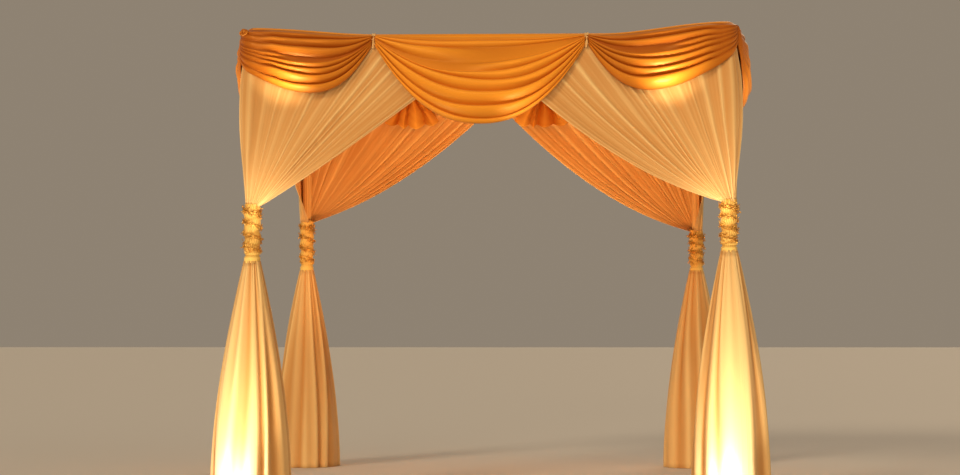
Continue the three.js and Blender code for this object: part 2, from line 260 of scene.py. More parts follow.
def cloth_material(name, crest, painted_crease_shade, gloss, roughness, sheen, threads, across, along, bumps):
    """A woven cloth: a lit crest colour, a crease colour of painted shade and a gloss colour, and bumps for
    its creases and threads.
    """
    material, tree, shader = new_material(name)
    plus, minus, times = arithmetic(tree)
    uv = add_node(tree, "ShaderNodeUVMap", uv_map="cloth").outputs["UV"]
    weave = add_node(tree, "ShaderNodeGroup", {
        "Threads per metre": threads, "Vector": uv}, node_tree=thread_group)
    creases = add_node(tree, "ShaderNodeGroup", {
        "Across per metre": across, "Along per metre": along, "Vector": uv}, node_tree=crease_group)
    # The fold attribute is painted light and shade: near 1 paints a crest lit, near 0 paints a crease in
    # shade, and a slow random change of tone is added.
    fold = add_node(tree, "ShaderNodeAttribute", attribute_name="fold").outputs["Fac"]
    lit = plus(fold, times(minus(creases.outputs["Shade"], 0.5), SHADE_CHANGE))
    creased = add_node(tree, "ShaderNodeBump", {
        "Strength": bumps[0], "Distance": CREASE_HEIGHT, "Height": creases.outputs["Height"]})
    woven = add_node(tree, "ShaderNodeBump", {
        "Strength": bumps[1], "Distance": THREAD_HEIGHT, "Height": weave.outputs["Height"],
        "Normal": creased.outputs["Normal"]})
    set_inputs(tree, shader, {
        "Base Color": mix_colours(tree, lit, painted_crease_shade, crest),
        "Roughness": vary(tree, weave.outputs["Slub"], roughness, SLUB_CHANGE),
        "Normal": woven.outputs["Normal"],
        "Specular Tint": (*gloss, 1.0),
        "Sheen Tint": (*gloss, 1.0),
        "Sheen Weight": sheen,
        "Sheen Roughness": SHEEN_ROUGHNESS,
    })
    return material


# Each cloth's crest colour is the cloth lit, and its crease colour is painted shade.
sheer = cloth_material(
    "ivory_sheer", crest=(0.94, 0.63, 0.265), painted_crease_shade=(0.66, 0.30, 0.080), gloss=IVORY_GLOSS,
    roughness=0.78, sheen=0.25, threads=620.0, across=70.0, along=1.2, bumps=(0.55, 0.25))
satin = cloth_material(
    "gold_satin", crest=(1.00, 0.37, 0.030), painted_crease_shade=(0.34, 0.056, 0.003), gloss=GOLDEN_GLOSS,
    roughness=0.38, sheen=0.05, threads=1400.0, across=9.0, along=22.0, bumps=(0.42, 0.1))
satin_reverse = cloth_material(
    "gold_satin_reverse", crest=(0.90, 0.48, 0.080), painted_crease_shade=(0.45, 0.11, 0.006), gloss=GOLDEN_GLOSS,
    roughness=0.55, sheen=0.10, threads=1400.0, across=12.0, along=9.0, bumps=(0.30, 0.1))
shirred = cloth_material(
    "shirred_wrap", crest=(1.00, 0.64, 0.165), painted_crease_shade=(0.64, 0.28, 0.035), gloss=IVORY_GLOSS,
    roughness=0.62, sheen=0.3, threads=620.0, across=90.0, along=8.0, bumps=(0.6, 0.2))
print("cloths:", sheer.name, satin.name, satin_reverse.name, shirred.name)

# %% [markdown]
# ## Metal materials
# The pipes are anodised aluminium and the bases are powder-coated steel. Both show small
# scratches and dull patches, which one more shared group makes from Object coordinates. The
# garland's gold wire is worn in the same way, so it takes the same group.

# %% Metal materials
SCRATCHES_PER_METRE = 180.0
SCRATCH_RUNS_PER_METRE = 3.0
PATCHES_PER_METRE = 5.0
SCRATCH_CHANGE = 0.3


def make_wear_group():
    """Long fine scratches and dull patches, for metal."""
    tree, given = new_group("handling_wear", {"Scratches": 60.0})
    spacing = (given["Scratches"], given["Scratches"], SCRATCH_RUNS_PER_METRE)
    return end_group(tree, {
        "Scratch": add_noise(tree, scale_vector(tree, given["Vector"], spacing), detail=4.0),
        "Patch": add_noise(tree, given["Vector"], PATCHES_PER_METRE),
    })


wear_group = make_wear_group()


def metal_material(name, light, dark, metallic, roughness):
    """A metal or coated surface with scratches and dull patches."""
    material, tree, shader = new_material(name)
    place = add_node(tree, "ShaderNodeTexCoord").outputs["Object"]
    wear = add_node(tree, "ShaderNodeGroup", {
        "Scratches": SCRATCHES_PER_METRE, "Vector": place}, node_tree=wear_group)
    set_inputs(tree, shader, {
        "Base Color": mix_colours(tree, wear.outputs["Patch"], dark, light),
        "Roughness": vary(tree, wear.outputs["Scratch"], roughness, SCRATCH_CHANGE),
        "Metallic": metallic,
    })
    return material


pipe_metal = metal_material("anodised_pipe", (0.75, 0.75, 0.77), (0.55, 0.56, 0.58), 1.0, 0.38)
base_metal = metal_material("powder_coat", (0.03, 0.03, 0.032), (0.015, 0.015, 0.017), 0.0, 0.55)
gold_metal = metal_material("gold_wire", (0.96, 0.56, 0.12), (0.52, 0.22, 0.03), 0.8, 0.30)
print("metals:", pipe_metal.name, base_metal.name, gold_metal.name)

# %% [markdown]
# ## From a grid of points to a cloth
# Every cloth here is a grid of points. This helper turns one into a mesh with a UV map in
# metres and a fold attribute of painted light and shade, closes it into a ring if asked, and
# gives it a thin real thickness with Solidify, so that the mesh is a closed sheet.

# %% Cloth helpers
SHEET_THICKNESS = 0.0016


def spaced_lengths(points, axis):
    """How far along the given grid axis each point lies, in metres."""
    steps = np.linalg.norm(np.diff(points, axis=axis), axis=2)
    start = np.zeros_like(steps[:1] if axis == 0 else steps[:, :1])
    return np.cumsum(np.concatenate([start, steps], axis=axis), axis=axis)


def thicken(piece):
    """Gives a cloth its small real thickness, and prints its area before that."""
    area = sum(face.area for face in piece.data.polygons)
    print(f"{piece.name}: {area:.3f} square metres of cloth")
    solid = piece.modifiers.new("thickness", "SOLIDIFY")
    solid.thickness = SHEET_THICKNESS
    solid.offset = 0.0


def dress(piece, material, node=None):
    """Gives a piece its finish, hangs it under the root body, and hides the CAD node that it stands for, if
    any.
    """
    if len(piece.data.materials) == 0:
        piece.data.materials.append(material)
    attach(piece, "root")
    if node:
        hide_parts(node)


def make_cloth(name, points, fold, material, node=None, ring=False):
    """A dressed cloth from rows x columns x 3 points and the painted light and shade of each point."""
    rows, columns = points.shape[:2]
    index = np.arange(rows * columns).reshape(rows, columns)
    if ring:
        index = np.concatenate([index, index[:, :1]], axis=1)
    quads = np.stack([index[:-1, :-1], index[:-1, 1:], index[1:, 1:], index[1:, :-1]], axis=-1)
    mesh = bpy.data.meshes.new(name)
    mesh.from_pydata(points.reshape(-1, 3).tolist(), [], quads.reshape(-1, 4).tolist())
    across = np.median(spaced_lengths(points, 1), axis=0)
    down = spaced_lengths(points, 0)
    uv_grid = np.stack([np.broadcast_to(across, (rows, columns)), down], axis=-1).reshape(-1, 2)
    corners = np.zeros(len(mesh.loops), dtype=np.int32)
    mesh.loops.foreach_get("vertex_index", corners)
    uv_layer = mesh.uv_layers.new(name="cloth")
    uv_layer.data.foreach_set("uv", uv_grid[corners].astype(np.float32).ravel())
    # The fold attribute stores each point's painted light and shade, which the cloth materials mix their
    # colours by.
    shade = np.broadcast_to(np.clip(fold, 0, 1), (rows, columns))
    attribute = mesh.attributes.new("fold", "FLOAT", "POINT")
    attribute.data.foreach_set("value", shade.astype(np.float32).ravel())
    mesh.shade_smooth()
    piece = new_object(name, mesh)
    thicken(piece)
    dress(piece, material, node)


# %% [markdown]
# Folds come from a few simple curves: a smooth step, a blend, a wave, and a ripple that wanders
# like something made by hand. The ripple adds up a few waves whose lengths and starts are drawn
# from a fixed seed, so the script gives the same folds each time.

# %% Curves for folds
RIPPLE_PEAK = 1.6


def smooth_step(low, high, value):
    """0 below low, 1 above high, and smooth between."""
    share = np.clip((np.asarray(value, float) - low) / (high - low), 0, 1)
    return share * share * (3 - 2 * share)


def mix(first, second, share):
    """The value a share of the way from first to second."""
    return first + (second - first) * share


def crests(turns):
    """A wave between 0 and 1, with a crest at each whole number of turns."""
    return 0.5 + 0.5 * np.cos(math.tau * turns)


def ripple(position, seed, waves=5):
    """A smooth random line between about -1 and 1, the same one for the same seed."""
    draw = np.random.default_rng(seed)
    total = np.zeros_like(np.asarray(position, float))
    for wave in range(1, waves + 1):
        turns = wave * draw.uniform(0.8, 1.2)
        total += np.sin(math.tau * (turns * position + draw.random())) / wave
    return total / RIPPLE_PEAK


print("ripple at 0:", round(float(ripple(0.0, 1)), 3))

# %% [markdown]
# ## The four sides
# The canopy's sides are alike, so each cloth is worked out once in a side's own terms: how far
# along the bar, how far out from it, and how high. A turn about the middle then puts it on its
# side. Round the posts the cloth follows an arc instead of a sharp corner.

# %% Sides and corners
SIDES = ("front", "right", "back", "left")
CORNER_ROUND = 0.035
CORNER_REFERENCE = 0.06
ARC_RADIUS = CORNER_ROUND + CORNER_REFERENCE
corner_start = half_span - CORNER_ROUND
corner_end = corner_start + ARC_RADIUS * math.pi / 4


def round_corner(along, outwards):
    """Bends the along-and-out plane round the posts: the same point, past the corner's arc."""
    past = np.clip(np.abs(along) - corner_start, 0, ARC_RADIUS * math.pi / 2)
    angle = past / ARC_RADIUS
    radius = CORNER_ROUND + outwards
    beyond = np.where(past > 0, radius * np.sin(angle), 0)
    x = np.sign(along) * (np.minimum(np.abs(along), corner_start) + beyond)
    out = np.where(past > 0, radius * np.cos(angle) - CORNER_ROUND, outwards)
    return x, out


def on_side(side, x, out, height):
    """Points of a side, turned to their place in the whole canopy."""
    y = -half_span - out
    for _ in range(SIDES.index(side)):
        x, y = -y, x
    return np.stack(np.broadcast_arrays(x, y, height), axis=-1)


def hang_cloth(name, side, shape, material, node=None, ring=False):
    """A cloth of one side, from its x, outwards, height and painted light and shade."""
    *place, fold = shape
    make_cloth(name, on_side(side, *place), fold, material, node, ring)


def put_above(strip, sheet):
    """The rows of a strip put above those of a sheet, for x, outwards, height and painted light and shade.
    """
    return [np.concatenate(pair) for pair in zip(np.broadcast_arrays(*strip), sheet)]


print("corner arc ends", round(corner_end, 3), "m along the bar")

# %% [markdown]
# ## Half panels
# Each half panel is a wide sheer curtain on the bar whose lower end is drawn to the post and
# tied there, so its pleats fan out from the tie. A straight line from the bar to the tie for
# each pleat gives the fan, a sag lets the free edge hang, and the pleats are pushed out of that
# surface by a wave with uneven widths. Simulation would lose the crisp fan at this length.

# %% Pleats of uneven width
PLEAT_WIDTHS = (0.35, 2.0)
PLEAT_HEIGHTS = (0.15, 1.15)
PANEL_PLEATS = 15
SMALL_PLEATS = 45
PLEAT_WANDER = 0.008


def uneven_pleats(across, count, seed):
    """The pleat number at each place, for pleats of uneven width, and each pleat's own height."""
    draw = np.random.default_rng(seed)
    widths = draw.uniform(*PLEAT_WIDTHS, count)
    edges = np.concatenate([[0], np.cumsum(widths)]) / np.sum(widths)
    phase = np.interp(across, edges, np.arange(count + 1))
    heights = draw.uniform(*PLEAT_HEIGHTS, count)
    return phase, heights[np.clip(np.floor(phase).astype(int), 0, count - 1)]


def panel_pleats(across, down, seed):
    """How high the main pleats, the small ones and the broad waves stand, each as a share."""
    wander = across + PLEAT_WANDER * ripple(across * 2 + down * 0.8, seed) * np.sin(math.pi * across)
    phase, height = uneven_pleats(wander, PANEL_PLEATS, seed + 1)
    small_phase, small_height = uneven_pleats(wander, SMALL_PLEATS, seed + 2)
    ridge = (1 - crests(phase)) ** 5 * height
    small = (1 - crests(small_phase)) ** 2 * small_height
    return ridge, small, 0.5 + 0.5 * ripple(across * 2.2, seed + 3, 3)


print("pleats in a half panel:", PANEL_PLEATS, "main ones and", SMALL_PLEATS, "small ones")


# %% Half panel shape
PANEL_COLUMNS = 180
PANEL_ROWS = 26
RIDGE_DEPTHS = (0.013, 0.008)
SMALL_DEPTHS = (0.0016, 0.0036)
BROAD_DEPTH = 0.012
HEM_DEPTH = 0.003
CORNER_STAND = 0.025
CORNER_PUFF = 0.046
TIE_RADIUS = 0.040
TIE_TURNS = (math.radians(-44), math.radians(118))
POCKET_ROWS = 5
POCKET_RADIUS = bar_radius + 0.0025
POCKET_DEGREES = (-150, 78)
print("points in a half panel:", (PANEL_ROWS + POCKET_ROWS) * PANEL_COLUMNS)


def panel_points(past, sag, tie_height, layer, seed):
    """A half panel of the side's left post, as x, outwards, height and painted light and shade."""
    across = np.linspace(0, 1, PANEL_COLUMNS)[None, :]
    down = np.linspace(0, 1, PANEL_ROWS)[:, None] ** 1.15
    opened = smooth_step(0.0, 0.3, down)
    drawn = smooth_step(0.5, 1.0, down)
    hem = smooth_step(0.986, 0.996, across)
    near_corner = 1 - smooth_step(0.0, 0.12, across)
    face = POCKET_RADIUS + layer * smooth_step(0.4, 1, across) + CORNER_STAND * near_corner
    top_along = mix(-corner_end, past, across)
    top_x, top_out = round_corner(top_along, face)
    round_post = np.clip((np.abs(top_along) - corner_start) / (corner_end - corner_start), 0, 1)
    tie_turn = mix(*TIE_TURNS, across)
    x = mix(top_x, TIE_RADIUS * np.sin(tie_turn) - half_span, down)
    out = mix(top_out, TIE_RADIUS * np.cos(tie_turn), drawn)
    facing = mix(-math.pi / 4 * round_post, tie_turn, drawn)
    ridge, small, broad = panel_pleats(across, down, seed)
    push = opened * (mix(*RIDGE_DEPTHS, drawn) * ridge + BROAD_DEPTH * broad * (1 - drawn))
    push = push + mix(*SMALL_DEPTHS, drawn) * small
    push = push + CORNER_PUFF * (1 - across) ** 4 * np.sin(math.pi * down ** 0.80)
    push = push * (1 - 0.5 * hem) + HEM_DEPTH * hem * opened
    hang = sag * across ** 1.5 * 4 * down * (1 - down)
    height = mix(bar_height, tie_height, down) - hang
    # Painted light and shade: pleat ridges are painted lit over shaded hollows, a painted highlight runs
    # along the hem, and painted light grows towards the tie.
    fold = 0.12 + 0.75 * ridge + 0.25 * small + 0.7 * hem + 0.12 * drawn
    return x + push * np.sin(facing), out + push * np.cos(facing), height, fold


def add_pocket(x, out, height, fold):
    """Rows that carry the panel's top over the bar, as the pocket that it hangs by."""
    angles = np.radians(np.linspace(*POCKET_DEGREES, POCKET_ROWS))[:, None]
    radius = np.maximum(out[:1], POCKET_RADIUS)
    on_bar = 1 - smooth_step(half_span - 0.10, half_span - 0.05, np.abs(x[:1]))
    pocket_out = mix(out[:1], radius * np.sin(angles), on_bar)
    pocket_height = bar_height + mix(0.0, radius * np.cos(angles), on_bar)
    return put_above((x[:1], pocket_out, pocket_height, fold[:1]), (x, out, height, fold))


# %% [markdown]
# The two front panels differ a little, because they are dressed by hand: each has its own reach
# past the middle of the bar and its own sag. The tie height of each comes from its wrap. The
# second panel of each side is made like the first, then mirrored, and lies a layer further out.

# %% Make the half panels
PANEL_LAYER = 0.003
TIE_ABOVE_WRAP = 0.001
PANELS = {
    "front": (("left", 0.03, 0.040), ("right", 0.10, 0.155)),
    "right": (("front", 0.06, 0.120), ("back", 0.06, 0.120)),
    "back": (("right", 0.10, 0.170), ("left", 0.045, 0.135)),
    "left": (("back", 0.06, 0.120), ("front", 0.06, 0.120)),
}


def post_of(side, end):
    """The name of the post at one end of a side."""
    return f"{side}_{end}" if side in ("front", "back") else f"{end}_{side}"


for side, pair in PANELS.items():
    for number, (end, past, sag) in enumerate(pair):
        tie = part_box(f"post_wrap_{post_of(side, end)}")[1].z + TIE_ABOVE_WRAP
        seed = 10 * SIDES.index(side) + number
        x, *rest = add_pocket(*panel_points(past, sag, tie, number * PANEL_LAYER, seed))
        shape = (x if number == 0 else -x, *rest)
        hang_cloth(f"sheer_panel_{side}_{end}", side, shape, sheer, f"panel_{side}_{end}")
print("panels:", 2 * len(PANELS))

# %% [markdown]
# ## Swags
# A swag is satin laid over the bar and tied at both ends, so its cloth falls in folds that run
# from tie to tie. Seen in section, each fold stands out like a small shelf with a rounded edge,
# which catches the light, and then falls back slowly and turns under, into shade, to where the
# next one stands out. Each section is a few points on a smooth curve, laid along every fold at
# its own size. A cloth simulation would find folds too, but not these ones.

# %% The section of one fold
FOLD_SECTION = (
    (0.04, 0.00), (0.02, 0.30), (0.00, 0.62), (0.03, 0.88), (0.10, 1.00), (0.20, 1.00), (0.32, 0.93),
    (0.45, 0.82), (0.58, 0.67), (0.70, 0.50), (0.81, 0.33), (0.91, 0.16), (1.00, 0.00),
)
RIM_SECTION = (
    (0.04, 0.00), (0.02, 0.32), (0.00, 0.66), (0.05, 0.92), (0.15, 1.03), (0.29, 1.05), (0.44, 1.00),
    (0.58, 0.90), (0.71, 0.77), (0.83, 0.61), (0.93, 0.44), (1.00, 0.26),
)
FOLD_ROWS = 11


def smooth_curve(points, share):
    """A smooth curve through evenly numbered points, read at shares of its length."""
    points = np.asarray(points, float)
    place = share * (len(points) - 1)
    at = np.clip(np.floor(place).astype(int), 0, len(points) - 2)
    part = (place - at)[:, None]
    before = points[np.maximum(at - 1, 0)]
    here = points[at]
    after = points[at + 1]
    beyond = points[np.minimum(at + 2, len(points) - 1)]
    bend = 2 * before - 5 * here + 4 * after - beyond
    twist = 3 * (here - after) + beyond - before
    return here + 0.5 * part * (after - before + part * (bend + part * twist))


fold_section, rim_section = (
    smooth_curve(points, np.linspace(0, 1, FOLD_ROWS)) for points in (FOLD_SECTION, RIM_SECTION))
print("fold section:", len(fold_section), "rows")

# %% [markdown]
# A swag's two ends decide much of its shape. At a node it is tied small, and at a corner it
# spreads over the post's top, climbs a little, and meets the next side's swag on the arc. Each
# kind of end has the height of its gathered cloth, how far that stands out from the bar, where
# the folds start, and how steeply they fall.

# %% The ends of a swag
SwagEnd = namedtuple("SwagEnd", "height body start steep")
AT_NODE = SwagEnd(height=0.052, body=0.031, start=0.001, steep=1.0)
AT_CORNER = {
    "front_left": SwagEnd(height=0.150, body=0.080, start=0.030, steep=0.64),
    "front_right": SwagEnd(height=0.095, body=0.068, start=0.010, steep=0.64),
    "back_left": SwagEnd(height=0.130, body=0.080, start=0.030, steep=0.62),
    "back_right": SwagEnd(height=0.110, body=0.072, start=0.015, steep=0.62),
}
CORNER_RISE = {"front_left": 0.006, "front_right": 0.034, "back_left": 0.012, "back_right": 0.018}
MEETING_TURN = {"front_left": 76, "front_right": 62, "back_left": 45, "back_right": 45}
CLIMB = (half_span - 0.80, half_span - 0.03)
OVER_BAR = 0.010
OVER_POST = 0.006


def near_post(along):
    """0 along the bar and 1 over the posts."""
    return smooth_step(half_span - 0.16, half_span - 0.04, np.abs(along))


def top_of_swag(along, rises):
    """The height of the swag's top edge: on the bar, and over the post's top at a corner."""
    over_post = upright_top + OVER_POST + np.where(along < 0, rises[0], rises[1])
    return mix(bar_height + bar_radius + OVER_BAR, over_post, smooth_step(*CLIMB, np.abs(along)))


def meeting_place(side, post):
    """How far along the side, past the post's corner, its swag meets the next side's swag."""
    degrees = MEETING_TURN[post] if side in ("front", "back") else 90 - MEETING_TURN[post]
    return corner_start + ARC_RADIUS * math.radians(degrees)


print("swags meet", round(meeting_place("front", "front_left"), 3), "m along the front's left end")

# %% [markdown]
# Each fold has the share of the swag's depth where its lip lies, how far its lowest point is
# shifted to one side and, where it isn't open all along, the stretch where it is. A fold that
# closes before it reaches a tie is what keeps a real swag from looking like ribs.

# %% Swag shape
SWAG_COLUMNS = 90
COLUMN_CROWDING = 0.8
RIM_POWER = 2.3
END_GATHER = 1.5
FOLD_DEPTH = 0.125
FOLD_SWAY = 0.020
SWAY_SHARE = 0.15
SMALLEST_FOLD = 0.002
FOLD_WOBBLE = 0.25
FOLD_FADE = 0.16
FLATTER_OVER_POST = 0.66
NODE_PAINTED_SHADE = 0.35
ALL_ALONG = (-1.0, 2.0)
LIP_ROWS = 7
LIP_DEGREES = (-95, 50)
LIP_RADIUS = 0.030
LIP_AT_POST = 0.041
# The lip over the bar is painted fully lit, a painted highlight.
LIP_PAINTED_LIGHT = 1.0
print("swag columns:", SWAG_COLUMNS)


def bow(across):
    """0 at a swag's ends and 1 in its middle, full like a hanging cloth."""
    return 1 - np.abs(2 * across - 1) ** RIM_POWER


def drop_line(share, shift, across, gathered, drop, steep):
    """How far below the top edge a fold's lip hangs, along the swag."""
    moved = np.clip(across + shift * np.sin(math.pi * across), 0, 1)
    return share ** END_GATHER * gathered + share * (drop - gathered) * bow(moved) ** steep


def swag_points(span, ends, corners, drop, bulge, folds, rises, painted_light_range, seed):
    """A swag over a span of its side, as along, outwards, height and painted light and shade."""
    evenly = np.linspace(0, 1, SWAG_COLUMNS)[None, :]
    across = evenly + COLUMN_CROWDING * (evenly ** 2 - evenly) * (corners[0] - corners[1])
    near_corner = smooth_step(0, 1, corners[0] * (1 - 2 * across) + corners[1] * (2 * across - 1))
    steep = mix(1.0, min(end.steep for end in ends), near_corner)
    gathered = mix(ends[0].height, ends[1].height, across)
    body = mix(ends[0].body, ends[1].body, across)
    started = smooth_step(0.0, ends[0].start, across) * smooth_step(0.0, ends[1].start, 1 - across)
    reach = drop_line(1.0, 0.0, across, gathered, drop, steep)
    along = mix(*span, across)
    post = near_post(along) * any(corners)
    top = top_of_swag(along, rises) - 0.4 * mix(LIP_RADIUS, LIP_AT_POST, post)
    belly = bulge * np.abs(bow(across)) ** 0.8
    # Painted shadow: the swag's darkest painted shade deepens towards its tied ends.
    shadow = painted_light_range[0] * mix(NODE_PAINTED_SHADE, 1.0, smooth_step(0.0, 0.7, bow(across)))
    rows = []
    above = np.zeros_like(across)
    before = 0.0
    for number, (share, shift, *stretch) in enumerate(folds):
        is_rim = number == len(folds) - 1
        opens, closes = stretch or ALL_ALONG
        sway = 0.0 if is_rim else min(FOLD_SWAY, SWAY_SHARE * (share - before))
        crest = share + sway * ripple(across * 0.9, seed + 20 + number, 2)
        lip_line = drop_line(crest, shift, across, gathered, drop, steep)
        below = np.maximum(lip_line, above + SMALLEST_FOLD)
        size = below - above
        wobble = 1 + FOLD_WOBBLE * ripple(across * 1.1, seed + number, 2)
        is_open = smooth_step(opens - FOLD_FADE, opens + FOLD_FADE, across)
        is_open = is_open * (1 - smooth_step(closes - FOLD_FADE, closes + FOLD_FADE, across))
        is_open = is_open * started * (1 - FLATTER_OVER_POST * post)
        first = min(number, 1)
        forward, stand = np.hsplit((rim_section if is_rim else fold_section)[first:], 2)
        even = np.linspace(0, 1, FOLD_ROWS)[first:, None]
        down = above + size * mix(even, forward, is_open)
        level = np.clip(down / reach, 0, 1)
        out = body + belly * np.sin(0.8 * math.pi * level)
        out = out + FOLD_DEPTH * np.sqrt(size) * wobble * stand * is_open
        # Painted light and shade: each fold's standing lip is painted lit and its under side painted in
        # shade, and a closed fold gets a painted gradient that lightens downwards.
        lit = mix(0.15 + 0.30 * even, 0.05 + 0.95 * np.maximum(stand, 0.0) ** 1.3, is_open)
        rows.append((out, top - down, mix(shadow, painted_light_range[1], lit)))
        above = below
        before = share
    out, height, shade = (np.concatenate(part) for part in zip(*rows))
    ease = smooth_step(0.0, 0.07, (top - height) / reach)
    lip = mix(LIP_RADIUS * 0.9, LIP_AT_POST * 0.9 + LIP_AT_POST - LIP_RADIUS, post)
    return np.broadcast_to(along, out.shape), mix(lip, out, ease), height, shade


def add_lip(along, out, height, fold, rises, at_corner):
    """Rows that carry the swag back over the bar, and over the post's top, to its inner side."""
    angles = np.radians(np.linspace(*LIP_DEGREES, LIP_ROWS))[:, None]
    post = near_post(along[:1]) * at_corner
    radius = mix(LIP_RADIUS, LIP_AT_POST, post)
    lip_out = (LIP_AT_POST - LIP_RADIUS) * post + radius * np.sin(angles)
    lip_height = top_of_swag(along[:1], rises) - radius + radius * np.cos(angles)
    # The lip rows are painted fully lit, a painted highlight.
    return put_above((along[:1], lip_out, lip_height, LIP_PAINTED_LIGHT), (along, out, height, fold))


# %% [markdown]
# Each side has three swags, tied at two nodes. The front's nodes, drops and folds are measured
# from the picture. The other sides are dressed alike, and the back's swags are shallow, because
# the picture shows nothing of them below the front swag.

# %% Make the swags
SWAGS = {
    "front": ((-0.745, 0.620), (0.400, 0.575, 0.390), (0.060, 0.105, 0.060)),
    "right": ((-0.685, 0.685), (0.480, 0.560, 0.400), (0.092, 0.105, 0.060)),
    "back": ((-0.330, 0.705), (0.300, 0.250, 0.300), (0.045, 0.050, 0.045)),
    "left": ((-0.685, 0.685), (0.400, 0.560, 0.430), (0.060, 0.105, 0.046)),
}
LEFT_FOLDS = (
    (0.16, 0.02), (0.32, 0.02), (0.49, 0.00), (0.56, 0.02, -1.0, 0.34), (0.64, 0.01, -1.0, 0.95),
    (0.74, 0.01), (0.88, 0.00), (1.00, 0.00),
)
MIDDLE_FOLDS = (
    (0.085, 0.00), (0.165, 0.05), (0.34, 0.02, -1.0, 0.42), (0.44, 0.03, 0.55, 2.0), (0.53, -0.03),
    (0.66, -0.04), (0.83, -0.02), (0.95, 0.00), (1.00, 0.00),
)
RIGHT_FOLDS = (
    (0.17, 0.03), (0.31, -0.02), (0.42, 0.00, 0.62, 2.0), (0.53, 0.00), (0.67, -0.01), (0.81, 0.01),
    (1.00, 0.02),
)
# Ranges of painted light and shade for the swags: the end swags are painted darker and the middle one
# lighter, as lit and shaded copies of the one satin.
END_PAINTED_LIGHT = (0.06, 0.50)
MIDDLE_PAINTED_LIGHT = (0.48, 1.00)
FOLDS_AND_PAINTED_LIGHT = ((LEFT_FOLDS, END_PAINTED_LIGHT), (MIDDLE_FOLDS, MIDDLE_PAINTED_LIGHT), (RIGHT_FOLDS, END_PAINTED_LIGHT))
NODE_GAP = 0.002

for side, (nodes, drops, bulges) in SWAGS.items():
    left_end, right_end = (end for end, _, _ in PANELS[side])
    posts = [post_of(side, end) for end in (left_end, right_end)]
    rises = [CORNER_RISE[post] for post in posts]
    stops = (-meeting_place(side, posts[0]), *nodes, meeting_place(side, posts[1]))
    ends = (AT_CORNER[posts[0]], AT_NODE, AT_NODE, AT_CORNER[posts[1]])
    for number, place in enumerate((left_end, "middle", right_end)):
        corners = (number == 0, number == 2)
        gaps = [0 if corner else NODE_GAP for corner in corners]
        span = (stops[number] + gaps[0], stops[number + 1] - gaps[1])
        folds, painted_light_range = FOLDS_AND_PAINTED_LIGHT[number]
        along, out, height, fold = add_lip(*swag_points(
            span, ends[number:number + 2], corners, drops[number], bulges[number], folds, rises, painted_light_range,
            seed=100 + 10 * SIDES.index(side) + number), rises, any(corners))
        shape = (*round_corner(along, out), height, fold)
        node = f"swag_{side}_{place}"
        hang_cloth(f"satin_{node}", side, shape, satin, node)
print("swags:", 3 * len(SWAGS))

# %% [markdown]
# ## Tails and ties at the nodes
# Where a swag is tied, the spare satin is pulled over the bar and falls inside it as a short
# gathered tail, and a soft ribbon holds the knot. The tail is a fan of folds that open from the
# knot, made as a grid. Only the folds and the scalloped rim make it look like loose cloth.

# %% Make the tails
TAIL_COLUMNS = 70
TAIL_ROWS = 20
TAIL_DROP = 0.262
TAIL_HALF_WIDTHS = (0.022, 0.225)
TAIL_FOLDS = 4
TAIL_FOLD_DEPTHS = (0.004, 0.050)
TAIL_BELLY = 0.016


def tail_points(node, seed):
    """A gathered tail inside the bar at a node, as x, outwards, height and painted light and shade."""
    across = np.linspace(-1, 1, TAIL_COLUMNS)[None, :]
    down = np.linspace(0, 1, TAIL_ROWS)[:, None]
    wander = across / 2 + 0.5 + 0.02 * ripple(across * 0.7 + down, seed)
    phase, fold_height = uneven_pleats(wander, TAIL_FOLDS, seed)
    wave = np.abs(np.sin(math.pi * phase)) ** 0.8 * (0.6 + 0.4 * fold_height)
    opened = smooth_step(0.0, 0.55, down)
    spread = mix(*TAIL_HALF_WIDTHS, down ** 0.85)
    x = node + spread * across + 0.006 * np.sin(math.tau * phase) * opened
    out = -0.002 - TAIL_BELLY * np.sin(math.pi * down) - mix(*TAIL_FOLD_DEPTHS, opened) * (1 - wave)
    rim = 0.90 - 0.14 * across ** 2 + 0.12 * wave
    height = bar_height - bar_radius - 0.003 - TAIL_DROP * down * rim
    # Painted light and shade: the tail's fold crests are painted lit and its hollows in shade.
    return x, out, height, 0.70 * wave - 0.10 + 0.35 * (fold_height - 0.4)


def every_node():
    """Each node's side, the end that it is nearer to, its place along the bar, and a number."""
    for side, (nodes, _, _) in SWAGS.items():
        for number, node in enumerate(nodes):
            yield side, PANELS[side][number][0], node, 10 * SIDES.index(side) + number


for side, end, node, number in every_node():
    shape = tail_points(node, 300 + number)
    hang_cloth(f"satin_tail_{side}_{end}", side, shape, satin_reverse, f"tail_{side}_{end}")
print("tails:", len(list(every_node())))

# %% [markdown]
# A strip of the ivory voile ties each node: a band round the satin and the bar, and two short
# ends that hang in front. The band is a ring round the bar, and each end is a narrow curved strip.

# %% Node ties
TIE_BAND_RADIUS = 0.0325
TIE_BAND_WIDTH = 0.022
TIE_BAND_STEPS = 40
TIE_BAND_ROWS = 6
TIE_END_ROWS = 14
TIE_END_COLUMNS = 7
TIE_END_WIDTH = 0.012
TIE_ENDS = ((0.052, -0.005), (0.034, 0.006))


def full_circle(count):
    """A row of angles all the way round."""
    return np.linspace(0, math.tau, count, endpoint=False)[None, :]


def tie_band(node, seed):
    """A pinched band round the bar at a node, as x, outwards, height and painted light and shade."""
    around = full_circle(TIE_BAND_STEPS)
    across = np.linspace(-1, 1, TIE_BAND_ROWS)[:, None]
    pinch = 0.0035 * np.abs(across) ** 1.5 + 0.0012 * np.cos(14 * across + np.sin(around * 2 + seed))
    below_lip = 0.006 * np.maximum(-np.cos(around), 0) * np.maximum(np.sin(around), 0)
    radius = TIE_BAND_RADIUS + pinch + below_lip
    x = node + 0.5 * TIE_BAND_WIDTH * across * (1 + 0.15 * np.sin(3 * around + seed))
    # Painted light: the band is painted lighter towards its edges.
    return x, radius * np.sin(around), bar_height + radius * np.cos(around), 0.6 + 0.3 * across ** 2


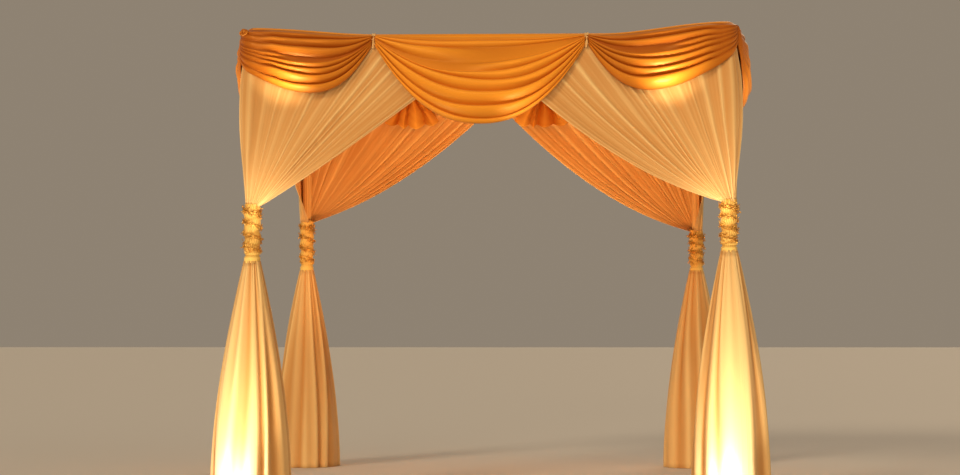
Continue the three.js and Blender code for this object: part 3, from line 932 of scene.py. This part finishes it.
def tie_end(node, length, lean, seed):
    """One hanging end of a tie, as x, outwards, height and painted light and shade."""
    across = np.linspace(-1, 1, TIE_END_COLUMNS)[None, :]
    down = np.linspace(0, 1, TIE_END_ROWS)[:, None]
    curl = np.cos(2.5 * across + seed)
    width = 0.5 * TIE_END_WIDTH * (0.45 + 0.75 * down)
    x = node + lean * down + width * across + 0.002 * ripple(down, seed, 2)
    out = TIE_BAND_RADIUS + 0.006 + 0.010 * np.sin(math.pi * down ** 0.7) + 0.002 * curl
    height = bar_height - 0.014 - length * down + 0.003 * across * np.sign(lean)
    # Painted light: each end is painted lighter along its middle.
    return x, out, height, 0.55 + 0.4 * np.cos(2.5 * across)


for side, end, node, number in every_node():
    seed = 400 + number
    hang_cloth(f"node_tie_{side}_{end}", side, tie_band(node, seed), sheer, ring=True)
    for strip, (length, lean) in enumerate(TIE_ENDS):
        shape = tie_end(node, length, lean, seed + 5 * strip)
        hang_cloth(f"tie_end_{side}_{end}_{strip + 1}", side, shape, sheer)
print("tie ends:", len(TIE_ENDS), "at each node")

# %% [markdown]
# At each corner the satin is gathered over the top of the post, which hides the pipe's end. The
# cap is a small dome whose pleats run in to its middle, made as rings of points.

# %% Caps over the posts
CAP_COLUMNS = 77
CAP_ROWS = 12
CAP_RADIUS = 0.052
CAP_HEIGHT = 0.040
CAP_INSET = 0.010
CAP_ABOVE_POST = 0.009
CAP_PLEATS = 11


def post_centre(post, inset=0.0):
    """The place of a post's axis, or a place a little further in."""
    return tuple(sign * (half_span - inset) for sign in POSTS[post])


def ring_points(centre, radius, angle, height):
    """Points round an upright axis."""
    x = centre[0] + radius * np.cos(angle)
    y = centre[1] + radius * np.sin(angle)
    return np.stack(np.broadcast_arrays(x, y, height), axis=-1)


def cap_shape(top, seed):
    """Radius, angle, height and painted light and shade of a pleated dome of cloth."""
    around = full_circle(CAP_COLUMNS)
    outwards = np.linspace(0.02, 1, CAP_ROWS)[:, None]
    wave = np.cos(CAP_PLEATS * around + 1.2 * np.sin(2 * around + seed))
    radius = CAP_RADIUS * np.sin(math.pi / 2 * outwards) * (1 + 0.035 * wave * outwards)
    height = top + CAP_HEIGHT * (np.cos(math.pi / 2 * outwards) - 1) + 0.0012 * wave * outwards
    # Painted light and shade: the cap's pleats are painted lit on their crests and shaded between.
    return radius, around, height, 0.45 + 0.35 * wave


for number, post in enumerate(POSTS):
    *place, fold = cap_shape(upright_top + CAP_ABOVE_POST + CORNER_RISE[post], number)
    points = ring_points(post_centre(post, CAP_INSET), *place)
    make_cloth(f"corner_cap_{post}", points, fold, satin, ring=True)
print("corner caps:", len(POSTS))

# %% [markdown]
# The front left corner also has a small knot in front, where the two swags' ends are twisted
# together, and the back corners repeat it. A knot is a ring that almost closes in its middle,
# with lobes that turn as it goes round, set facing outwards.

# %% Knots at the corners
KNOT_STEPS = 48
KNOT_SECTION = 18
KNOT_RING = 0.019
KNOT_ROLL = 0.0165
KNOT_LOBES = 3
KNOT_TWISTS = 3
KNOT_SEAT = 0.007
KNOT_DROP = 0.030
KNOT_FLATTEN = 0.70
KNOTTED_POSTS = ("front_left", "back_left", "back_right")


def knot_points(centre, facing):
    """A closed knot of twisted cloth that faces a level direction, as points and painted light and shade.
    """
    around = np.linspace(0, math.tau, KNOT_STEPS)[:, None]
    section_angle = full_circle(KNOT_SECTION)
    lobes = np.cos(KNOT_LOBES * section_angle + KNOT_TWISTS * around)
    radius = KNOT_ROLL * (1 + 0.16 * lobes)
    reach = KNOT_RING + radius * np.cos(section_angle)
    forward = radius * np.sin(section_angle)
    sideways = reach * np.cos(around)
    points = np.stack([
        centre[0] + forward * facing[0] - sideways * facing[1],
        centre[1] + forward * facing[1] + sideways * facing[0],
        centre[2] + KNOT_FLATTEN * reach * np.sin(around),
    ], axis=-1)
    # Painted light and shade: the knot is painted mostly in shade, with painted light on its lobes.
    return points, 0.12 + 0.14 * lobes


for post in KNOTTED_POSTS:
    facing = np.array(POSTS[post]) * math.sqrt(0.5)
    place = post_centre(post) + (AT_CORNER[post].body - KNOT_SEAT) * facing
    points, fold = knot_points((*place, upright_top - KNOT_DROP + CORNER_RISE[post]), facing)
    make_cloth(f"corner_knot_{post}", points, fold, satin_reverse, ring=True)
print("corner knots:", len(KNOTTED_POSTS))

# %% [markdown]
# ## Post wraps
# Each post is covered by a shirred sleeve from the ties down to the skirt. The wire garland pulls
# it in along a slow spiral, so it puffs out between the turns. A ring of points whose radius
# changes with height and angle gives that, the frill at its top and the plain band at its foot.

# %% Shape of a wrap
WRAP_COLUMNS = 100
WRAP_ROWS = 56
WRAP_RADIUS = 0.041
WRAP_PUFF = 0.011
WRAP_GATHERS = 22
WRAP_GATHER_DEPTH = 0.0018
WRAP_CRUMPLE_DEPTH = 0.0015
BAND_FROM = 0.87
BAND_STAND = 0.010
FRILL_RADIUS = 0.047
FRILL_PLEATS = 13
GARLAND_TURNS = 3.5
WRAP_CUT = {"flat": (0.36, 0.36), "held": "gathered"}
print("points in a wrap:", WRAP_ROWS * WRAP_COLUMNS)


def wrap_shape(low, high, seed):
    """Radius, angle, height and painted light and shade of a shirred sleeve."""
    angle = full_circle(WRAP_COLUMNS)
    around = angle / math.tau
    down = np.linspace(-0.05, 1, WRAP_ROWS)[:, None]
    puff = np.abs(np.sin(math.pi * ((1 - down) * GARLAND_TURNS - around))) ** 0.6
    gather = crests(WRAP_GATHERS * around + 0.7 * ripple(down * 3, seed))
    crumple = ripple(down * 6 + np.sin(angle + seed) * 0.5, seed + 7, 4)
    puffed = WRAP_PUFF * puff + WRAP_GATHER_DEPTH * gather + WRAP_CRUMPLE_DEPTH * crumple
    band = smooth_step(BAND_FROM - 0.01, BAND_FROM + 0.03, down)
    pinch = 1 - 0.7 * np.exp(-((down - BAND_FROM) / 0.02) ** 2)
    radius = WRAP_RADIUS + pinch * mix(puffed, BAND_STAND, band) + 0.0016 * band * np.sin(down * 190)
    ruffle = np.cos(math.tau * (FRILL_PLEATS * around + 0.5 * ripple(around * 2, seed + 3)))
    frill = 1 - smooth_step(-0.02, 0.03, down)
    radius = mix(radius, FRILL_RADIUS + 0.004 * ruffle, frill)
    # Painted light and shade: the puffs and gathers are painted lit and the shirring between them in shade,
    # and the band at the foot is painted bright.
    fold = mix(0.25 + 0.55 * puff * gather + 0.2 * gather, 0.95, band)
    return radius, angle, mix(high, low, down), fold


# %% Make the wraps and sleeves
SLEEVE_COLUMNS = 72
SLEEVE_ROWS = 10
SLEEVE_PLEATS = 9
SLEEVE_CUT = {"flat": (0.23, 1.05), "held": "gathered"}


def sleeve_shape(low, seed):
    """Radius, angle, height and painted light and shade of the cloth sleeve between the wrap and the bar.
    """
    angle = full_circle(SLEEVE_COLUMNS)
    down = np.linspace(0, 1, SLEEVE_ROWS)[:, None]
    spread = SLEEVE_PLEATS * angle / math.tau + 0.4 * np.sin(angle * 2 + seed) + 0.15 * ripple(down, seed)
    wave = crests(spread)
    radius = upright_radius + 0.0025 + 0.0045 * wave ** 1.5
    # Painted light and shade: the sleeve's pleats are painted lit on their crests and shaded between.
    return radius, angle, mix(bar_height - bar_radius - 0.004, low - 0.01, down), 0.2 + 0.7 * wave


for number, post in enumerate(POSTS):
    low, high = (corner.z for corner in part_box(f"post_wrap_{post}"))
    for name, shape, material, cut, node in (
        ("shirred_wrap", wrap_shape(low, high, number + 1), shirred, WRAP_CUT, f"post_wrap_{post}"),
        ("post_sleeve", sleeve_shape(high, number + 1), sheer, SLEEVE_CUT, None),
    ):
        *place, fold = shape
        points = ring_points(post_centre(post), *place)
        make_cloth(f"{name}_{post}", points, fold, material, node, ring=True)
print("wraps and sleeves:", 2 * len(POSTS))

# %% [markdown]
# ## Bell skirts with Geometry Nodes
# A skirt follows a rule: a bell that opens to the floor, with a whole number of soft pleats of
# uneven width. Such a shape suits Geometry Nodes, because its sizes are named inputs and one tree
# makes all four. The noise is read on a circle, so the last pleat meets the first.

# %% Helpers for Geometry Nodes
def new_tree(name, sizes):
    """A Geometry Nodes tree with a place and named sizes as inputs, and their sockets."""
    tree = bpy.data.node_groups.new(name, "GeometryNodeTree")
    tree.interface.new_socket(name="Geometry", in_out="OUTPUT", socket_type="NodeSocketGeometry")
    for socket, value in {"Place X": 0.0, "Place Y": 0.0, "Place Z": 0.0, **sizes}.items():
        kind = "NodeSocketInt" if isinstance(value, int) else "NodeSocketFloat"
        tree.interface.new_socket(name=socket, in_out="INPUT", socket_type=kind).default_value = value
    return tree, tree.nodes.new("NodeGroupInput").outputs


def end_tree(tree, size, geometry, material):
    """Smooths a tree's geometry, moves it to its place, and makes it real, with its material."""
    smooth = add_node(tree, "GeometryNodeSetShadeSmooth", {"Geometry": geometry})
    place = add_vector(tree, *(size[f"Place {axis}"] for axis in "XYZ"))
    moved = add_node(tree, "GeometryNodeTransform", {"Geometry": smooth.outputs[0], "Translation": place})
    real = add_node(tree, "GeometryNodeRealizeInstances", {"Geometry": moved.outputs[0]})
    painted = add_node(tree, "GeometryNodeSetMaterial", {"Geometry": real.outputs[0], "Material": material})
    add_node(tree, "NodeGroupOutput", {"Geometry": painted.outputs[0]})
    print("made", tree.name)
    return tree


def grow(name, tree, post, foot, sizes):
    """Runs a tree at a post, with its foot at a height, and keeps the result as a plain mesh."""
    x, y = post_centre(post)
    values = {"Place X": x, "Place Y": y, "Place Z": foot, **sizes}
    holder = new_object(f"{name}_tree", bpy.data.meshes.new(f"{name}_tree"))
    modifier = holder.modifiers.new("tree", "NODES")
    modifier.node_group = tree
    for socket in tree.interface.items_tree:
        if socket.in_out == "INPUT" and socket.name in values:
            modifier[socket.identifier] = values[socket.name]
    depsgraph = bpy.context.evaluated_depsgraph_get()
    mesh = bpy.data.meshes.new_from_object(
        holder.evaluated_get(depsgraph), preserve_all_data_layers=True, depsgraph=depsgraph)
    bpy.data.objects.remove(holder)
    print(f"{name}: {len(mesh.polygons)} faces")
    return new_object(name, mesh)


# %% Skirt tree
SKIRT_COLUMNS = 161
SKIRT_ROWS = 36
SKIRT_CUT = {"flat": (1.60, 1.53), "held": "gathered"}
UNEVENNESS = 1.3
CHANGE_DOWN = 0.35
NOISE_OFFSETS = (0.0, 40.5)
PLEAT_DRIFT = 3.0
GATHER_DRIFT = 4.0
PLEAT_SWELL = 1.7
PLEAT_MIDDLE = 0.6
GATHER_DEPTH = 0.0012
GATHER_DEPTH_AT_TOP = 0.006
PLEAT_SHADE = 0.75
GATHER_SHADE = 0.2
SEAM = 0.0002


def make_skirt_tree():
    """A bell skirt whose foot stands on the floor, with uneven soft pleats."""
    tree, size = new_tree("bell_skirt", {
        "Height": 1.5, "Top radius": 0.047, "Foot radius": 0.250, "Bell": 1.8, "Pleats": 7,
        "Pleat depth": 0.036, "Gathers": 21, "Seed": 1,
    })
    plus, minus, times = arithmetic(tree)
    grid = add_node(tree, "GeometryNodeMeshGrid", {
        "Size X": 1.0, "Size Y": 1.0, "Vertices X": SKIRT_COLUMNS, "Vertices Y": SKIRT_ROWS})
    position = add_node(tree, "GeometryNodeInputPosition").outputs[0]
    spot = add_node(tree, "ShaderNodeSeparateXYZ", {0: position}).outputs
    around = plus(spot["X"], 0.5)
    up = plus(spot["Y"], 0.5)
    down = minus(1.0, up)
    angle = times(around, math.tau)
    cosine, sine = (add_math(tree, wave, angle) for wave in ("COSINE", "SINE"))
    circle = add_vector(tree, cosine, sine, times(down, CHANGE_DOWN))
    drift, swell = (
        add_node(tree, "ShaderNodeTexNoise", {
            "Vector": circle, "W": plus(size["Seed"], offset), "Scale": UNEVENNESS, "Detail": 1.0,
        }, noise_dimensions="4D").outputs["Fac"]
        for offset in NOISE_OFFSETS
    )

    def pleat_wave(count, uneven):
        """A wave between 0 and 1 of a whole number of pleats, pushed along by the noise."""
        pushed = plus(times(around, count), times(drift, uneven))
        return add_math(tree, "MULTIPLY_ADD", add_math(tree, "COSINE", times(pushed, math.tau)), 0.5, 0.5)

    pleats = pleat_wave(size["Pleats"], PLEAT_DRIFT)
    gathers = pleat_wave(size["Gathers"], GATHER_DRIFT)
    bell = minus(1.0, add_math(tree, "POWER", up, size["Bell"]))
    radius = plus(size["Top radius"], times(bell, minus(size["Foot radius"], size["Top radius"])))
    depth = times(times(size["Pleat depth"], bell), times(swell, PLEAT_SWELL))
    radius = plus(radius, times(depth, minus(pleats, PLEAT_MIDDLE)))
    near_top = times(add_math(tree, "POWER", up, 3.0), GATHER_DEPTH_AT_TOP)
    radius = plus(radius, times(gathers, plus(near_top, GATHER_DEPTH)))
    # Painted light and shade: pleat crests and gathers are painted lit and the hollows between them in
    # shade.
    fold = plus(times(pleats, PLEAT_SHADE), times(gathers, GATHER_SHADE))
    uv = add_vector(tree, times(around, SKIRT_CUT["flat"][0]), times(down, size["Height"]))
    cloth = grid.outputs["Mesh"]
    for name, value, kind, domain in (("fold", fold, "FLOAT", "POINT"), ("cloth", uv, "FLOAT2", "CORNER")):
        cloth = add_node(tree, "GeometryNodeStoreNamedAttribute", {
            "Geometry": cloth, "Name": name, "Value": value}, data_type=kind, domain=domain).outputs[0]
    shape = add_vector(tree, times(radius, cosine), times(radius, sine), times(up, size["Height"]))
    bent = add_node(tree, "GeometryNodeSetPosition", {"Geometry": cloth, "Position": shape})
    closed = add_node(tree, "GeometryNodeMergeByDistance", {"Geometry": bent.outputs[0], "Distance": SEAM})
    return end_tree(tree, size, closed.outputs[0], sheer)


skirt_tree = make_skirt_tree()

# %% Make the skirts
SKIRT_FOOT = 0.0012
SKIRT_TUCK = 0.012

for number, post in enumerate(POSTS):
    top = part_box(f"post_wrap_{post}")[0].z
    piece = grow(f"bell_skirt_{post}", skirt_tree, post, SKIRT_FOOT, {
        "Height": top + SKIRT_TUCK - SKIRT_FOOT, "Seed": number + 1})
    thicken(piece)
    dress(piece, sheer, f"skirt_{post}")
print("skirts:", len(POSTS))

# %% [markdown]
# ## Wire garlands with Geometry Nodes
# The garland is a few strands of gold wire that wander round a spiral, with small leaves and
# beads on them. Points along each strand carry the leaves, each turned and sized at random from
# a fixed seed. By hand this would be hundreds of pieces, and a tree places them all. Each
# strand is turned by its own angle, and has its share of the garland's turns, its foot and its
# height as shares of the whole, and its share of the leaves. The last strand is a short one
# that crowds round the top, as the wire's spare end does.

# %% One strand of a garland
Strand = namedtuple("Strand", "turned turns foot height share")
STRANDS = (
    Strand(turned=0.0, turns=1.0, foot=0.0, height=1.0, share=0.40),
    Strand(turned=0.25, turns=1.0, foot=0.0, height=1.0, share=0.22),
    Strand(turned=2.6, turns=1.2, foot=0.0, height=1.0, share=0.16),
    Strand(turned=4.1, turns=0.8, foot=0.0, height=1.0, share=0.06),
    Strand(turned=1.0, turns=0.6, foot=0.93, height=0.07, share=0.16),
)
TANGLES_PER_METRE = 22.0
STEPS_PER_TURN = 30
print("strands:", len(STRANDS))


def wandering_wire(tree, size, strand, number):
    """The path of one strand: a spiral round the post, pushed about by noise."""
    plus, _, times = arithmetic(tree)
    spiral = add_node(tree, "GeometryNodeCurveSpiral", {
        "Resolution": STEPS_PER_TURN, "Rotations": times(size["Turns"], strand.turns),
        "Start Radius": size["Radius"], "End Radius": size["Radius"],
        "Height": times(size["Height"], strand.height)})
    lift = add_vector(tree, 0.0, 0.0, times(size["Height"], strand.foot))
    turned = add_node(tree, "GeometryNodeTransform", {
        "Geometry": spiral.outputs[0], "Rotation": (0.0, 0.0, strand.turned), "Translation": lift})
    noise = add_node(tree, "ShaderNodeTexNoise", {
        "Vector": add_node(tree, "GeometryNodeInputPosition").outputs[0],
        "W": plus(size["Seed"], 10.0 * number), "Scale": TANGLES_PER_METRE, "Detail": 2.0,
    }, noise_dimensions="4D")
    centred = add_node(tree, "ShaderNodeVectorMath", {
        0: noise.outputs["Color"], 1: (0.5, 0.5, 0.5)}, operation="SUBTRACT")
    push = add_node(tree, "ShaderNodeVectorMath", {
        0: centred.outputs[0], "Scale": size["Tangle"]}, operation="SCALE")
    return add_node(tree, "GeometryNodeSetPosition", {
        "Geometry": turned.outputs[0], "Offset": push.outputs[0]}).outputs[0]


# %% Garland tree
SCATTER = (0.008, 0.008, 0.012)
SIZES_FROM_TO = (0.6, 1.3)
LEAF_SHAPE = (1.0, 0.36, 0.14)
BEAD_SHARE = 0.20
WIRE_SIDES = 6


def scatter(tree, size, path, shape, count, spin, first_seed):
    """Copies of a small shape beside a path, each turned and sized at random."""
    plus, _, times = arithmetic(tree)

    def random_value(low, high, use, kind="FLOAT_VECTOR"):
        """A random value for each point, with a seed of its own for each use."""
        seed = plus(size["Seed"], first_seed + 31.0 * use)
        limits = {"Min": low, "Max": high, "Seed": seed}
        return add_node(tree, "FunctionNodeRandomValue", limits, data_type=kind).outputs["Value"]

    points = add_node(tree, "GeometryNodeCurveToPoints", {"Curve": path, "Count": count}, mode="COUNT")
    moved = add_node(tree, "GeometryNodeSetPosition", {
        "Geometry": points.outputs["Points"],
        "Offset": random_value([-reach for reach in SCATTER], SCATTER, 1)})
    return add_node(tree, "GeometryNodeInstanceOnPoints", {
        "Points": moved.outputs[0], "Instance": shape,
        "Rotation": random_value((0.0, 0.0, 0.0), (spin, spin, spin), 2),
        "Scale": times(random_value(*SIZES_FROM_TO, 3, kind="FLOAT"), size["Leaf length"])}).outputs[0]


def make_garland_tree():
    """Wandering wires round a post, with leaves and beads."""
    tree, size = new_tree("wire_garland", {
        "Height": 0.36, "Radius": 0.056, "Turns": 3.5, "Wire radius": 0.0022, "Tangle": 0.028,
        "Leaves": 420, "Leaf length": 0.021, "Beads": 150, "Seed": 1,
    })
    ball = add_node(tree, "GeometryNodeMeshUVSphere", {"Segments": 6, "Rings": 3, "Radius": 0.5})
    leaf = add_node(tree, "GeometryNodeTransform", {
        "Geometry": ball.outputs["Mesh"], "Translation": (0.5, 0.0, 0.0), "Scale": LEAF_SHAPE})
    bead = add_node(tree, "GeometryNodeMeshIcoSphere", {"Radius": BEAD_SHARE, "Subdivisions": 1})
    profile = add_node(tree, "GeometryNodeCurvePrimitiveCircle", {
        "Resolution": WIRE_SIDES, "Radius": size["Wire radius"]})
    trimmings = (("Leaves", leaf.outputs[0], math.tau), ("Beads", bead.outputs["Mesh"], 0.0))
    joined = add_node(tree, "GeometryNodeJoinGeometry")
    for number, strand in enumerate(STRANDS):
        path = wandering_wire(tree, size, strand, number)
        wire = add_node(tree, "GeometryNodeCurveToMesh", {
            "Curve": path, "Profile Curve": profile.outputs[0], "Fill Caps": True})
        tree.links.new(wire.outputs[0], joined.inputs[0])
        for kind, (count, shape, spin) in enumerate(trimmings):
            on_strand = add_math(tree, "MULTIPLY", size[count], strand.share)
            copies = scatter(tree, size, path, shape, on_strand, spin, 100.0 * kind + 7.0 * number)
            tree.links.new(copies, joined.inputs[0])
    return end_tree(tree, size, joined.outputs[0], gold_metal)


garland_tree = make_garland_tree()

# %% Make the garlands
GARLAND_INSET = 0.012

for number, post in enumerate(POSTS):
    low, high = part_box(f"garland_{post}")
    piece = grow(f"wire_garland_{post}", garland_tree, post, low.z + GARLAND_INSET, {
        "Height": high.z - low.z - 2 * GARLAND_INSET, "Turns": GARLAND_TURNS, "Seed": number + 1})
    dress(piece, gold_metal, f"garland_{post}")
print("garlands:", len(POSTS))

# %% [markdown]
# ## Ceiling cloth
# A single cloth closes the top between the bars. It hangs from its edges, so it sags most in
# the middle, and its soft folds run from side to side. A grid with a bowl-shaped sag is enough,
# because it is seen only from inside and from above.

# %% Make the ceiling cloth
CEILING_POINTS = 81
CEILING_FOLDS = 6
CEILING_FOLD = 0.016
ceiling_low, ceiling_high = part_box("ceiling_cloth")
grid = np.linspace(-1, 1, CEILING_POINTS)
grid_x, grid_y = np.meshgrid(grid, grid)
bowl = (1 - grid_x ** 2) * (1 - grid_y ** 2)
fold_wave = crests(CEILING_FOLDS * (grid_y + 0.015 * ripple(grid_x * 0.5, 5)) / 2)
height = bar_height - (bar_height - ceiling_low.z - CEILING_FOLD * fold_wave) * bowl
points = np.stack([grid_x * ceiling_high.x, grid_y * ceiling_high.y, height], axis=-1)
# Painted light and shade: the ceiling's fold crests are painted lit and its troughs in shade.
make_cloth("ceiling_sheet", points, 0.62 + 0.16 * fold_wave, sheer, "ceiling_cloth")
print("ceiling sag:", round(float(bar_height - height.min()), 3), "m")

# %% [markdown]
# ## Metal finish
# The pipes and bases keep their CAD shape, because machined parts are already right there. They
# only get a better material.

# %% Finish the frame's metal
FRAME_METALS = {"upright": pipe_metal, "crossbar": pipe_metal, "base_plate": base_metal}

for name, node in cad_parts.items():
    for start, metal in FRAME_METALS.items():
        if name.startswith(start):
            node.data.materials.clear()
            node.data.materials.append(metal)
print("metals given to:", ", ".join(FRAME_METALS))

# %% [markdown]
# ## Floor and light
# A plain pale floor and soft suns show the folds without hard shadows. A warm key from the front
# left models them, a second, low sun from the front lights what hangs under the swags, and a
# weaker fill and rim come from the right and from behind. Small lamps near the floor, at the
# ties, at the sides and under the swags graze the cloths from below, as they do at an evening
# ceremony, and four amber ones inside the canopy light its back. Some lamps stand in mirrored
# pairs, so one row gives both.

# %% Floor and light helpers
FLOOR_SIZE = 300
FLOOR_COLOUR = (0.78, 0.75, 0.70)

floor_material, floor_tree, floor_shader = new_material("pale_floor")
set_inputs(floor_tree, floor_shader, {"Base Color": (*FLOOR_COLOUR, 1.0), "Roughness": 0.8})
bpy.ops.mesh.primitive_plane_add(size=FLOOR_SIZE)
floor = bpy.context.object
floor.name = "studio_floor"
floor.data.materials.append(floor_material)


def add_light(kind, name, place, target, power, colour, **settings):
    """A light at a place, pointing at a target."""
    light = bpy.data.lights.new(name, kind)
    light.energy = power
    light.color = colour
    for setting, value in settings.items():
        setattr(light, setting, value)
    direction = np.array(target, float) - np.array(place, float)
    holder = new_object(name, light)
    holder.location = place
    holder.rotation_euler = (
        math.acos(-direction[2] / np.linalg.norm(direction)),
        0.0,
        math.atan2(direction[1], direction[0]) - math.pi / 2,
    )
    holder.visible_camera = False


print("floor:", FLOOR_SIZE, "m wide")

# %% Lights
SUN_COLOUR = (1.0, 0.79, 0.54)
SUNS = (
    ("key", (-6.0, -10.0, 6.5), (0, 0, 1.8), 1.13, SUN_COLOUR, 14),
    ("low", (-1.5, -10.0, 2.2), (0, 0, 1.8), 0.80, SUN_COLOUR, 20),
    ("fill", (8.0, -8.0, 3.5), (0, 0, 1.6), 0.40, (1.0, 0.80, 0.58), 50),
    ("rim", (3.0, 9.0, 6.0), (0, 0, 2.0), 0.50, (1.0, 0.74, 0.50), 30),
)
WHITE_LAMP = (0.88, 0.86, 1.0)
PALE_LAMP = (1.0, 0.93, 0.76)
WARM_LAMP = (1.0, 0.88, 0.62)
AMBER_LAMP = (1.0, 0.50, 0.17)
LAMPS = (
    ("panel_left", (-0.96, -2.60, 0.10), (-0.90, -1.60, 2.62), 0.4, WARM_LAMP, 0.30, 66),
    ("panel_right", (0.90, -2.60, 0.10), (0.84, -1.60, 2.62), 0.4, WARM_LAMP, 0.30, 66),
    ("swag_left", (-1.27, -1.92, 2.34), (-1.29, -1.72, 2.60), 0.62, WARM_LAMP, 0.08, 60),
    ("swag_middle", (0.30, -1.86, 2.05), (0.24, -1.70, 2.42), 0.16, WARM_LAMP, 0.10, 50),
    ("swag_right", (1.14, -1.92, 2.34), (1.14, -1.72, 2.60), 0.90, WARM_LAMP, 0.08, 60),
    ("skirt_left", (-1.64, -2.30, 0.04), (-1.58, -1.75, 0.95), 5, PALE_LAMP, 0.25, 80),
    ("glow_left", (-1.66, -1.94, 0.03), (-1.59, -1.74, 0.28), 3.2, WHITE_LAMP, 0.06, 120),
    ("skirt_right", (1.46, -2.30, 0.04), (1.50, -1.75, 0.95), 5, PALE_LAMP, 0.25, 80),
    ("glow_right", (1.44, -1.94, 0.03), (1.49, -1.74, 0.28), 3.2, WHITE_LAMP, 0.06, 120),
)
PAIRED_LAMPS = (
    ("tie", (1.37, -1.86, 1.68), (1.47, -1.57, 1.88), 0.30, PALE_LAMP, 0.10, 80),
    ("tie_back", (1.05, 0.95, 1.50), (1.50, 1.45, 2.15), 0.12, AMBER_LAMP, 0.15, 80),
    ("side", (1.96, -1.36, 1.95), (1.70, -1.42, 2.62), 1.2, WARM_LAMP, 0.15, 80),
    ("inside", (0.45, -0.60, 0.06), (1.00, 1.50, 2.60), 14, AMBER_LAMP, 0.60, 64),
)
AIR_COLOUR = (0.80, 0.66, 0.50)
AIR_STRENGTH = 0.34


def mirrored_pair(name, place, target, *rest):
    """A lamp on the left and one on the right, from the right one's row."""
    for end, sign in (("left", -1), ("right", 1)):
        yield f"{name}_{end}", *((sign * x, y, z) for x, y, z in (place, target)), *rest


lamps = [*LAMPS, *(lamp for row in PAIRED_LAMPS for lamp in mirrored_pair(*row))]
for *sun, softness in SUNS:
    add_light("SUN", *sun, angle=math.radians(softness))
for *lamp, size, spread in lamps:
    add_light("AREA", *lamp, size=size, spread=math.radians(spread))
print("lights:", len(SUNS) + len(lamps))

world = bpy.data.worlds.new("studio_air")
bpy.context.scene.world = world
world.use_nodes = True
set_inputs(world.node_tree, world.node_tree.nodes["Background"], {
    "Color": (*AIR_COLOUR, 1.0), "Strength": AIR_STRENGTH})
